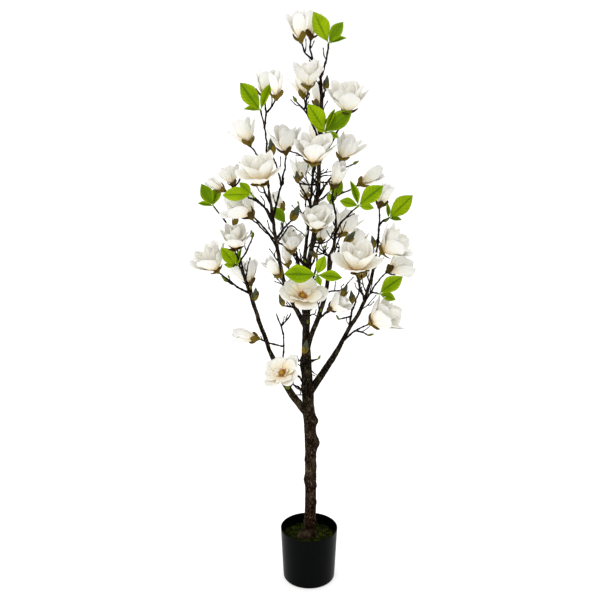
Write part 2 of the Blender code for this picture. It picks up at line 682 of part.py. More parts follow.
def turned_pot(name, profile, sides, made):
    # A body turned about Z from (radius, height) pairs that start and end on the axis
    verts = []
    for radius, height in profile[1:-1]:
        for i in range(sides):
            angle = 2 * math.pi * i / sides
            verts.append((radius * math.cos(angle), radius * math.sin(angle), height))
    rings = len(profile) - 2
    return add_object(name, verts, tube_faces(rings, sides), made)


def make_pot():
    corner = POT_FOOT_RADIUS - POT_EDGE_ROUND
    profile = [(0, 0), (corner, 0)]
    for degrees in (30, 60, 90):
        angle = math.radians(degrees)
        profile.append((corner + POT_EDGE_ROUND * math.sin(angle),
                        POT_EDGE_ROUND * (1 - math.cos(angle))))
    profile += [(POT_RIM_RADIUS, POT_HEIGHT), (POT_RIM_RADIUS - POT_WALL, POT_HEIGHT),
                (POT_FOOT_RADIUS - POT_WALL, POT_FLOOR), (0, POT_FLOOR)]
    turned_pot("pot", profile, POT_SIDES, material("black plastic", (0.006, 0.006, 0.007), 0.38))


def inside_radius(height):
    share = (height - POT_FLOOR) / (POT_HEIGHT - POT_FLOOR)
    return POT_FOOT_RADIUS - POT_WALL + (POT_RIM_RADIUS - POT_FOOT_RADIUS) * share


def make_fill():
    low, high = POT_FLOOR + GAP, FILL_TOP - GAP
    clear = 2 * GAP
    profile = [(0, low), (inside_radius(low) - clear, low), (inside_radius(high) - clear, high), (0, high)]
    turned_pot("fill", profile, POT_SIDES, material("cement", (0.25, 0.24, 0.22), 0.9))


def make_moss():
    # A thin uneven mat on the fill, higher in the middle, with the trunk's foot cut out of it
    chance = random.Random("moss")
    verts = []
    for number, share in enumerate(MOSS_RINGS):
        height = FILL_TOP if number == 0 else FILL_TOP + MOSS_THICKNESS + MOSS_CROWN * (1 - share)
        radius = (inside_radius(height) - 2 * GAP) * share
        for i in range(MOSS_SIDES):
            angle = 2 * math.pi * i / MOSS_SIDES
            bump = chance.uniform(-1, 1) * MOSS_BUMP if number > 1 else 0
            verts.append((radius * math.cos(angle), radius * math.sin(angle), height + bump))
    piece = add_object("moss", verts, tube_faces(len(MOSS_RINGS), MOSS_SIDES),
                       material("moss", (0.035, 0.055, 0.010), 0.95))
    seat(piece, "trunk")


def main():
    for old in list(bpy.data.objects):
        bpy.data.objects.remove(old)
    make_pot()
    make_fill()
    make_moss()
    make_trunk()
    make_boughs()
    make_sprays()


main()
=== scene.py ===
# A potted artificial magnolia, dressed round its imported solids: bark in relief, silk blooms, buds and
# leaves on fine twigs, dried moss and a smooth black pot, in a pale studio.
import functools
import math
import random

import bpy
import numpy as np
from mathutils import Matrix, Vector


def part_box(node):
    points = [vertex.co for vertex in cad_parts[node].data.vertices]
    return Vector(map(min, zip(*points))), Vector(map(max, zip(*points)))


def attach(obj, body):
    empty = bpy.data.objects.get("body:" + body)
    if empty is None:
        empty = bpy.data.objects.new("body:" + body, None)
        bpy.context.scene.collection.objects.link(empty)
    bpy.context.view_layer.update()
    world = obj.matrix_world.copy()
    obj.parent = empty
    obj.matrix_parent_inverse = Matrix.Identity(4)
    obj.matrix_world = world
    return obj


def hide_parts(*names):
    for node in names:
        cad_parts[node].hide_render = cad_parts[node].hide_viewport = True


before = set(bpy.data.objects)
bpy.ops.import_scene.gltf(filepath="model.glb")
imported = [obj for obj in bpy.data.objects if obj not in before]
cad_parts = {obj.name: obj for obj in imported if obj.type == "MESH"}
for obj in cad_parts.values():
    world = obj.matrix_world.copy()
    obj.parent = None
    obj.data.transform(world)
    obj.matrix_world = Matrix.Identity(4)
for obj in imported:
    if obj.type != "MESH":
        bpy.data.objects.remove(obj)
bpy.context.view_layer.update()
print("frame loaded with", len(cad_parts), "nodes")


# Small tools for arrays of points

def unit(vectors):
    vectors = np.asarray(vectors, float)
    return vectors / np.maximum(np.linalg.norm(vectors, axis=-1, keepdims=True), 1e-12)


def heading(turn, lean):
    # The direction that leans turn degrees to the right and lean degrees to the front
    turn, lean = math.radians(turn), math.radians(lean)
    return np.array([math.sin(turn) * math.cos(lean), -math.sin(lean), math.cos(turn) * math.cos(lean)])


def acrossAxis(axis):
    # Two directions at right angles to an axis and to each other
    side = unit(np.cross(axis, [0.2, 0.9, 0.3]))
    return side, np.cross(axis, side)


def fullTurn(sides):
    return np.linspace(0, 2 * math.pi, sides, endpoint=False)


def turned(radius, bearing, height):
    # Points at a radius and bearing from the upright axis, and a height
    return np.stack(np.broadcast_arrays(radius * np.cos(bearing), radius * np.sin(bearing), height), -1)


def smoothRoute(points, step):
    # A Catmull-Rom curve through the points, read about every step metres
    points = np.asarray(points, float)
    held = np.vstack([2 * points[0] - points[1], points, 2 * points[-1] - points[-2]])
    pieces = []
    for a, b, c, d in zip(held, held[1:], held[2:], held[3:]):
        count = max(1, round(float(np.linalg.norm(c - b)) / step))
        t = (np.arange(count) / count)[:, None]
        pieces.append(0.5 * (2 * b + (c - a) * t + (2 * a - 5 * b + 4 * c - d) * t ** 2
                             + (3 * b - a - 3 * c + d) * t ** 3))
    return np.vstack(pieces + [points[-1:]])


def lengthsAlong(route):
    return np.concatenate([[0], np.cumsum(np.linalg.norm(np.diff(route, axis=0), axis=1))])


def carriedSides(route):
    # Two directions across the route at each of its points, carried along it without twisting
    ways = unit(np.gradient(route, axis=0))
    side = unit(np.cross(ways[0], [0.31, 0.87, 0.38]))
    sides = []
    for way in ways:
        side = unit(side - way * float(side @ way))
        sides.append(side)
    return np.array(sides), np.cross(ways, sides)


def eased(points, cell, seed):
    # Value noise from -1 to 1: a random height at each corner of a lattice, eased between the corners
    place = points / cell
    corner = np.floor(place).astype(np.int64)
    part = place - corner
    part = part * part * (3 - 2 * part)
    total = 0
    for offset in np.ndindex(2, 2, 2):
        x, y, z = np.moveaxis(corner + offset, -1, 0)
        key = (x * 73856093) ^ (y * 19349663) ^ (z * 83492791) ^ (seed * 40503)
        key = ((key ^ (key >> 13)) * 1274126177) & 0x7FFFFFFF
        height = ((key ^ (key >> 16)) & 0xFFFF) / 32767.5 - 1
        total = total + height * np.where(offset, part, 1 - part).prod(-1)
    return total


# Surfaces, heaped together into one mesh for each piece

def newHeap():
    return {"points": [], "faces": [], "tones": [], "smooth": [], "marks": [], "count": 0}


def heapUp(heap, points, faceSets, tones=0, marks=None):
    # Adds a surface, whose first set of faces is shaded smooth and whose others are shaded flat. tones
    # is the number of its material, or a list with a number or an array of them for each set.
    points = np.reshape(points, (-1, 3))
    heap["points"].append(points)
    heap["marks"].append(np.zeros((len(points), 2)) if marks is None else np.reshape(marks, (-1, 2)))
    for number, faces in enumerate(faceSets):
        heap["faces"].append(faces + heap["count"])
        tone = tones[number] if isinstance(tones, list) else tones
        heap["tones"].append(np.broadcast_to(tone, len(faces)))
        heap["smooth"].append(np.full(len(faces), number == 0))
    heap["count"] += len(points)


def heapRings(heap, rings, tones=0):
    # A closed tube: quads between rings of points, and a many-sided cap at each end
    index = np.arange(rings.shape[0] * rings.shape[1]).reshape(rings.shape[:2])
    beside = np.roll(index, -1, axis=1)
    quads = np.stack([index[:-1], beside[:-1], beside[1:], index[1:]], -1).reshape(-1, 4)
    if isinstance(tones, list):  # one number for each ring of faces
        tones = [np.repeat(tones, rings.shape[1]), tones[0], tones[-1]]
    heapUp(heap, rings, [quads, index[:1, ::-1], index[-1:]], tones)


def ringsRound(route, radii, sides):
    # centre + radius * (cos(angle) * side + sin(angle) * up), with one radius for each ring or point
    side, up = carriedSides(route)
    angle = fullTurn(sides)
    ring = np.cos(angle)[:, None] * side[:, None] + np.sin(angle)[:, None] * up[:, None]
    return route[:, None] + ring * np.reshape(radii, (len(route), -1, 1))


def addTurned(heap, foot, axis, profile, tall, wide, sides, tones=0, bend=0.0):
    # A body turned about an axis that bends a little to one side towards its tip. Its profile is height
    # and radius, times tall and wide.
    heights, radii = np.array(profile).T
    share = (heights / heights[-1])[:, None]
    aside = unit(np.cross(axis, [0.3, 0.2, 0.9]))
    route = foot + axis * heights[:, None] * tall + aside * bend * share ** 2
    heapRings(heap, ringsRound(route, radii * wide, sides), tones)


def shellFaces(rows, cols):
    # The front of a sheet and its back, then the strip of quads that joins their rims
    front = np.arange(rows * cols).reshape(rows, cols)
    rim = np.concatenate([front[0], front[1:-1, -1], front[-1, ::-1], front[-2:0:-1, 0]])
    ahead, far = np.roll(rim, -1), rows * cols
    sheet = np.stack([front[:-1, :-1], front[1:, :-1], front[1:, 1:], front[:-1, 1:]], -1).reshape(-1, 4)
    return np.concatenate([sheet, sheet[:, ::-1] + far]), np.stack([rim, ahead, ahead + far, rim + far], -1)


def addShells(heap, grids, thickness, tones, marks):
    # Thin closed shells: each grid of points is moved by half the thickness to either side of itself,
    # and by less at its rim
    count, rows, cols = grids.shape[:3]
    normals = unit(np.cross(np.gradient(grids, axis=1), np.gradient(grids, axis=2)))
    half = np.full((rows, cols, 1), thickness * 0.2)
    half[1:-1, 1:-1] = thickness / 2
    points = np.concatenate([(grids + normals * half).reshape(count, -1, 3),
                             (grids - normals * half).reshape(count, -1, 3)], 1)
    marks = np.tile(marks.reshape(count, -1, 2), (1, 2, 1))
    first = (np.arange(count) * points.shape[1])[:, None, None]
    sheets, strip = ((faces + first).reshape(-1, 4) for faces in shellFaces(rows, cols))
    tones = np.broadcast_to(tones, (count, rows - 1, cols - 1))
    rims = np.concatenate([tones[:, 0], tones[:, :, -1], tones[:, -1, ::-1], tones[:, ::-1, 0]], 1)
    tones = tones.reshape(count, -1)
    heapUp(heap, points, [sheets, strip], [np.concatenate([tones, tones], 1).ravel(), rims.ravel()], marks)


def putIn(name, data):
    # An object of the scene that holds a mesh, a lamp or a camera
    made = bpy.data.objects.new(name, data)
    bpy.context.scene.collection.objects.link(made)
    return made


def makePiece(name, heap, materials, replaced):
    # One mesh from the heap, with its own UV map where the marks are, riding on the plant's one body
    mesh = bpy.data.meshes.new(name)
    faces = [face for group in heap["faces"] for face in group.tolist()]
    mesh.from_pydata(np.concatenate(heap["points"]).tolist(), [], faces)
    mesh.polygons.foreach_set("material_index", np.concatenate(heap["tones"]))
    mesh.polygons.foreach_set("use_smooth", np.concatenate(heap["smooth"]))
    marks = np.concatenate(heap["marks"])
    if marks.any():
        corners = np.concatenate([group.ravel() for group in heap["faces"]])
        mesh.uv_layers.new(name="cloth").uv.foreach_set("vector", marks[corners].ravel())
    for item in materials:
        mesh.materials.append(item)
    mesh.validate()
    piece = putIn(name, mesh)
    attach(piece, "root")
    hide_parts(*replaced)
    print(name, "has", sum(len(face) - 2 for face in faces), "triangles")


# Materials

def linear(text):
    # An sRGB hex colour as linear red, green, blue and alpha
    parts = [int(text[i:i + 2], 16) / 255 for i in (1, 3, 5)]
    return [p / 12.92 if p <= 0.04045 else ((p + 0.055) / 1.055) ** 2.4 for p in parts] + [1.0]


def feed(node, inputs):
    # A link, a colour or a plain value for each socket named. A node stands for its own output.
    for socket, value in inputs.items():
        if isinstance(value, bpy.types.Node):
            value = value.outputs.get("Fac") or next(out for out in value.outputs if out.enabled)
        if isinstance(value, bpy.types.NodeSocket):
            node.id_data.links.new(value, node.inputs[socket])
        else:
            node.inputs[socket].default_value = linear(value) if isinstance(value, str) else value


def addNode(tree, kind, inputs, **settings):
    # A node with its settings, its plain values and its links. Each Mix here mixes two colours.
    node = tree.nodes.new("ShaderNode" + kind)
    if kind == "Mix":
        node.data_type = "RGBA"
    for setting, value in settings.items():
        setattr(node, setting, value)
    feed(node, inputs)
    return node


def newMaterial(name, colour, finish):
    # A Principled material with its even values on its own sockets. The finish names its patterns: a
    # noise by size in millimetres and detail, a wave by spacing in millimetres, direction, distortion and
    # detail. It also says which of them make its bumps, laid over each other, by depth in metres and
    # strength, and may give a tone that varies, and a pattern for its roughness, from one value to another.
    made = bpy.data.materials.new(name)
    made.use_nodes = True
    add = functools.partial(addNode, made.node_tree)
    patterns = dict(add("TexCoord", {}).outputs.items())
    for key, (size, detail) in finish["noises"].items():
        patterns[key] = add("TexNoise", {"Vector": patterns["Object"], "Scale": 1000 / size,
                                         "Detail": detail})
    for key, (size, way, distortion, detail) in finish.get("waves", {}).items():
        # A wave texture has 20 radians to a unit
        patterns[key] = add("TexWave", {"Vector": patterns["UV"], "Scale": 1000 / size * math.pi / 10,
                                        "Distortion": distortion, "Detail": 2.0, "Detail Scale": detail},
                            bands_direction=way)
    sockets = ("Roughness", "Specular IOR Level", "Sheen Weight", "IOR")
    inputs = {"Base Color": colour, **dict(zip(sockets, finish["surface"]))}
    if "tone" in finish:
        inputs["Base Color"] = finish["tone"](add, patterns, colour, finish)
    if "rough" in finish:
        key, low, high = finish["rough"]
        inputs["Roughness"] = add("MapRange", {"Value": patterns[key], "To Min": low, "To Max": high})
    below = {}
    for key, (depth, strength) in finish["bumps"].items():
        below = {"Normal": add("Bump", {"Height": patterns[key], "Distance": depth, "Strength": strength,
                                        **below})}
    feed(made.node_tree.nodes["Principled BSDF"], {**inputs, **below})
    return made


def cloudedTone(add, patterns, colour, finish):
    cloud = add("Mix", {0: patterns["cloud"], 6: colour, 7: finish["darker"]})
    return add("Mix", {0: finish["share"], 6: colour, 7: cloud})


def leafTone(add, patterns, colour, finish):
    # Darker on the side veins, partly their own printed colour and partly painted shade in the troughs
    # between the puffs, and darker in soft clouds at random
    for key, low, high, most in (("veins", 0.80, 1.0, 0.32), ("cloud", 0.42, 0.68, 0.30)):
        share = add("MapRange", {"Value": patterns[key], "From Min": low, "From Max": high, "To Max": most})
        colour = add("Mix", {0: share, 6: colour, 7: finish["shade"]})
    return colour


def barkTone(add, patterns, colour, finish):
    tall = add("Mapping", {"Vector": patterns["Object"], "Scale": (1, 1, 0.16)})
    furrow = add("TexNoise", {"Vector": tall, "Scale": 1000 / finish["furrow"], "Detail": 5.0,
                              "Roughness": 0.6})
    fleck = add("TexNoise", {"Vector": tall, "Scale": 1000 / finish["fleck"], "Detail": 2.0})
    height = add("SeparateXYZ", {"Vector": patterns["Object"]}).outputs["Z"]
    # Each range: what it reads, from and to, and what these become. Red turns olive and back by height.
    deep, pale, turning, back, chipped = (add("MapRange", dict(enumerate(row))) for row in (
        (furrow, 0.38, 0.60), (fleck, 0.62, 0.74, 0, 0.65), (height, 0.34, 0.62),
        (height, 0.72, 0.95, 1, 0.3), (height, 0.175, 0.150, 0, 0.05)))
    mossy = add("Math", {0: turning, 1: back}, operation="MULTIPLY")
    both = add("Math", {0: patterns["patch"], 1: patterns["dab"]}, operation="MULTIPLY")
    footed = add("Math", {0: both, 1: chipped}, operation="ADD")
    worn = add("MapRange", {"Value": footed, "From Min": 0.27, "From Max": 0.42, "To Max": 0.7})
    tone = add("Mix", {0: mossy, 6: finish["red"], 7: colour})
    tone = add("Mix", {0: deep, 6: finish["dark"], 7: tone})
    tone = add("Mix", {0: worn, 6: tone, 7: finish["grey"]})
    return add("Mix", {0: pale, 6: tone, 7: finish["lichen"]})


# The finishes. Each surface is its roughness, specular level, sheen and IOR.
silk = {  # Polyester silk, woven and heat-pressed: matt, softly creased, with pleats from root to tip
    "tints": ["#CB9450", "#E3C38E", "#EDDCB7", "#F1E6CA", "#F2EBDA", "#F1EFE6", "#EFEEEA"],  # root to tip
    "surface": (0.62, 0.25, 0.1, 1.53), "noises": {"slubs": (1.2, 2), "creases": (13, 1)},
    "waves": {"pleats": (4.2, "X", 5.0, 0.4)},
    "bumps": {"creases": (0.0014, 0.8), "pleats": (0.0004, 0.6), "slubs": (0.0001, 0.3)}}
veinGap = 10.0
leaf = {  # Coated polyester, printed and pressed: a soft gloss over fine side veins that slant off the rib
    "tints": {"light": "#94B000", "mid": "#7F9E00", "deep": "#658500", "rib": "#4A6A00",
              "stalk": "#86A42A"},
    "surface": (0.5, 0.06, 0.0, 1.5), "noises": {"cloud": (24, 2), "mottle": (6, 3)},
    "waves": {"veins": (veinGap, "Y", 0.8, 1.5)}, "tone": leafTone, "shade": "#3C5C00",
    "rough": ("mottle", 0.42, 0.62), "bumps": {"veins": (0.0003, 0.5), "mottle": (0.0002, 0.4)}}
bark = {  # Polyurethane foam cast in a mould of real bark, then painted: dark furrows, pale dabbed specks
    "olive": "#17120A", "red": "#240F08", "dark": "#020101", "grey": "#5C503E", "lichen": "#A39B7C",
    "surface": (0.85, 0.02, 0.0, 1.5), "noises": {"patch": (22, 3), "dab": (1.1, 2), "grain": (1.2, 3)},
    "tone": barkTone, "furrow": 4.5, "fleck": 1.3, "bumps": {"grain": (0.0008, 0.8)}}
felt = {  # Flocked polyester on wire: dull, with a short down that breaks up the light
    "tints": {"olive": "#77641A", "brown": "#4E3A0C", "dark": "#221806", "grey": "#4C5540",
              "green": "#6E7F1E"},
    "surface": (0.78, 0.07, 0.02, 1.5), "noises": {"cloud": (7, 2), "down": (0.9, 3)},
    "tone": cloudedTone, "darker": "#221806", "share": 0.5, "bumps": {"down": (0.0003, 0.6)}}
paper = {  # Wire wrapped in waxed paper tape: almost black, with a faint sheen on its ridges
    "surface": (0.62, 0.05, 0.0, 1.48), "noises": {"cloud": (14, 2), "wrap": (1.8, 3)},
    "tone": cloudedTone, "darker": "#170E0A", "share": 1.0, "bumps": {"wrap": (0.0004, 0.6)}}
dyedMoss = {  # Preserved and dyed moss: matt, and each fibre a little lighter or darker than the next
    "tints": {"deep": "#181F03", "mid": "#414E05", "pale": "#77821A"},
    "surface": (0.9, 0.05, 0.0, 1.45), "noises": {"cloud": (2.5, 3)},
    "tone": cloudedTone, "darker": "#101504", "share": 1.0, "bumps": {"cloud": (0.0008, 0.8)}}
cement = {  # Cement poured into the pot: grey and pitted, hidden under the moss
    "surface": (0.9, 0.2, 0.0, 1.55), "noises": {"cloud": (3, 6)},
    "tone": cloudedTone, "darker": "#5F5D59", "share": 1.0, "bumps": {"cloud": (0.001, 0.8)}}
plastic = {  # Black polypropylene, injection moulded: satin, with a faint orange peel and a few dull rubs
    "surface": (0.30, 0.03, 0.0, 1.49), "noises": {"peel": (1.5, 2), "rubs": (30, 4)},
    "rough": ("rubs", 0.26, 0.38), "bumps": {"peel": (0.00006, 0.5)}}


# Limbs, in millimetres and degrees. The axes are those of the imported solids.

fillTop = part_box("trunk")[0].z
trunk = {
    "axis": [(1, 0, fillTop * 1000), (4, 0, 250), (4, 0, 370), (2, 0, 465), (-4, 0, 555), (-8, 0, 645),
             (-10, 0, 740), (-9, 0, 812)],
    # height and radius, which is a little more than the solid's, and most in a collar over the moss
    "radii": [(118, 20.0), (128, 16.0), (148, 14.0), (163, 14.6), (170, 18.4), (178, 19.0), (186, 17.2),
              (200, 16.3), (300, 16.0), (400, 16.1), (500, 16.8), (600, 15.8), (660, 14.3), (705, 12.2),
              (760, 9.8), (795, 10.8), (812, 11.2)],
    "lobes": 5, "lobeDepth": 3.5, "lobeReach": 22,
    # each knot: height, bearing, how far it stands out, half height
    "knots": [(427, -14, 10.4, 18), (495, -20, 8.6, 14), (312, 185, 4.0, 14), (575, 60, 4.0, 16),
              (655, 200, 3.5, 14), (292, -5, 2.2, 7), (238, -8, 2.0, 8), (372, 150, 2.2, 10),
              (205, 100, 3.0, 12), (350, 60, 3.0, 12), (520, 140, 3.0, 12)],
    "ringStep": 0.0016, "sides": 84}
# Root stubs that spread over the moss: bearing, reach and size, then share of the reach and height
# along each, and its radii
roots = {"stubs": [(186, 30, 1.70), (221, 22, 1.55), (262, 19, 0.9), (342, 32, 0.85), (15, 24, 1.2),
                   (80, 29, 0.9), (140, 30, 1.1)],
         "profile": [(0.20, 34), (0.60, 22), (0.90, 9), (1.0, 1)], "radii": [5.2, 6.0, 4.4],
         "ringStep": 0.0014, "sides": 24, "relief": 1.6}
boughs = {  # full is how much thicker than the solid a bough shows in its middle
    "bough_left": {
        "axis": [(-3, 0, 512), (-42, -10, 566), (-72, -5, 615), (-101, 0, 678), (-132, 0, 767),
                 (-156, 0, 848), (-179, 0, 915)],
        "radii": [10.0, 9.2, 7.8, 5.4, 5.4, 4.8, 3.8], "full": 1.08},
    "bough_right": {
        "axis": [(-4, 0, 572), (30, 0, 624), (75, 0, 698), (105, 0, 759), (136, 0, 816), (154, 0, 862),
                 (168, 0, 925), (179, 0, 990)],
        "radii": [10.2, 9.4, 7.8, 5.4, 5.0, 4.6, 4.0, 3.4], "full": 1.06},
    "bough_mid_left": {
        "axis": [(-10, 0, 768), (-36, -30, 826), (-63, -60, 895), (-78, -82, 967), (-88, -100, 1036),
                 (-98, -112, 1105), (-104, -118, 1165)],
        "radii": [6.6, 5.8, 5.0, 4.6, 4.2, 3.8, 3.2], "full": 1.1},
    "bough_mid_right": {
        "axis": [(-8, -2, 700), (6, -16, 755), (27, -14, 812), (47, -6, 890), (52, -2, 960), (66, 0, 1011),
                 (68, 0, 1080)],
        "radii": [6.4, 5.8, 5.2, 4.6, 4.4, 3.8, 3.2], "full": 1.2},
    "bough_back": {
        "axis": [(-9, 4, 772), (-16, 40, 850), (-14, 75, 925), (-8, 100, 994), (2, 118, 1100),
                 (10, 124, 1170)],
        "radii": [6.2, 5.4, 4.8, 4.2, 3.8, 3.2], "full": 1.1},
    "leader": {
        "axis": [(-9, 0, 800), (-7, 0, 880), (-3, 0, 950), (8, 0, 1015), (18, 0, 1120), (24, 0, 1210),
                 (28, 0, 1330), (26, 0, 1428)],
        "radii": [8.0, 7.2, 6.4, 6.0, 5.6, 5.2, 4.6, 4.2], "full": 1.0},
}
boughSides = 34
readStep = {"trunk": 0.01, **dict.fromkeys(boughs, 0.04)}  # how finely the solids' own axes are read


def limbRoute(name, step):
    return smoothRoute(np.array((trunk if name == "trunk" else boughs[name])["axis"]) / 1000, step)


def atHeight(route, height):
    return np.stack([np.interp(height, route[:, 2], route[:, i]) for i in range(3)], -1)


def limbPlace(name, height):
    # The point on a limb's axis at a height, and the way the limb runs there
    route = limbRoute(name, readStep[name])
    near = np.clip(np.searchsorted(route[:, 2], height), 1, len(route) - 1)
    return atHeight(route, height), unit(route[near] - route[near - 1])


def trunkRadius(height, bearing):
    # The radius at a height, plus root lobes that fade upwards and a rounded swelling at each knot
    radius = np.interp(height, *zip(*trunk["radii"]))
    fade = np.exp(-(height - fillTop * 1000) / trunk["lobeReach"])
    radius = radius + trunk["lobeDepth"] * fade * np.sin(trunk["lobes"] * bearing + 0.6)
    for knotHeight, knotBearing, depth, half in trunk["knots"]:
        away = np.clip(np.cos(bearing - math.radians(knotBearing)), 0, None)
        radius = radius + depth * away ** 2.4 * np.exp(-((height - knotHeight) / half) ** 2)
    return radius / 1000


def barkRelief(points):
    # Metres outwards: long ridges, wrinkles that run round the limb, a few warts, and a fine grain
    ridges = eased(points * (1, 1, 0.3), 0.0048, 1)
    wrinkles = eased(points * (0.4, 0.4, 1), 0.0021, 2)
    warts = np.clip(eased(points, 0.0062, 3) - 0.35, 0, None)
    return 0.0006 * ridges + 0.0003 * wrinkles + 0.0010 * warts + 0.00015 * eased(points, 0.0013, 4)


def addBarkTube(heap, route, radii, sides, strength):
    # Rings round a route, pushed outwards by the relief at that strength
    rings = ringsRound(route, radii, sides)
    heapRings(heap, rings + unit(rings - route[:, None]) * (barkRelief(rings) * strength)[..., None])


def makeBarkTrunk(material):
    # Two parameters, height and bearing: the axis at that height, plus radius and relief outwards
    top = trunk["axis"][-1][2] / 1000
    height = np.linspace(fillTop, top, round((top - fillTop) / trunk["ringStep"]))[:, None]
    bearing = fullTurn(trunk["sides"])
    out = turned(1, bearing, 0)
    points = atHeight(limbRoute("trunk", readStep["trunk"]), height) \
        + out * trunkRadius(height * 1000, bearing)[..., None]
    heap = newHeap()
    heapRings(heap, points + out * barkRelief(points)[..., None])
    for turn, reach, size in roots["stubs"]:
        far, high = np.array(roots["profile"]).T
        route = smoothRoute(turned(reach * far, math.radians(turn), high + fillTop * 1000) / 1000,
                            roots["ringStep"])
        share = lengthsAlong(route) / lengthsAlong(route)[-1]
        radii = size * np.interp(share, [0, 0.5, 1], roots["radii"]) / 1000
        addBarkTube(heap, route, radii, roots["sides"], roots["relief"])
    makePiece("barkTrunk", heap, [material], ["trunk"])


def makeBarkBoughs(material):
    # Rings round each axis, which wavers a little. The radius tapers by the list, swells at the foot,
    # thins at the tip and carries the relief.
    heap = newHeap()
    for name, bough in boughs.items():
        route = limbRoute(name, trunk["ringStep"])
        lengths = lengthsAlong(route)
        share, full = lengths / lengths[-1], bough["full"]
        waver = np.stack([eased(route, 0.022, 31), eased(route, 0.022, 32), 0 * lengths], -1)
        route = route + waver * np.interp(share, [0, 0.3, 0.9, 1], [0, 0.0012, 0.0022, 0])[:, None]
        radii = np.interp(share, np.linspace(0, 1, len(bough["radii"])), bough["radii"]) / 1000
        radii = radii * np.interp(share, [0, 0.25, 0.7, 1], [1, full, full, 1.05])
        radii = radii * (1 + 0.35 * np.exp(-lengths / 0.022))
        radii = radii * np.interp(lengths[-1] - lengths, [0, 0.003, 0.014], [0.55, 0.72, 1.0])
        strength = np.interp(radii, [0.003, 0.009], [0.45, 1.0])[:, None]
        addBarkTube(heap, route, radii, boughSides, strength)
    makePiece("barkBoughs", heap, [material], list(boughs))


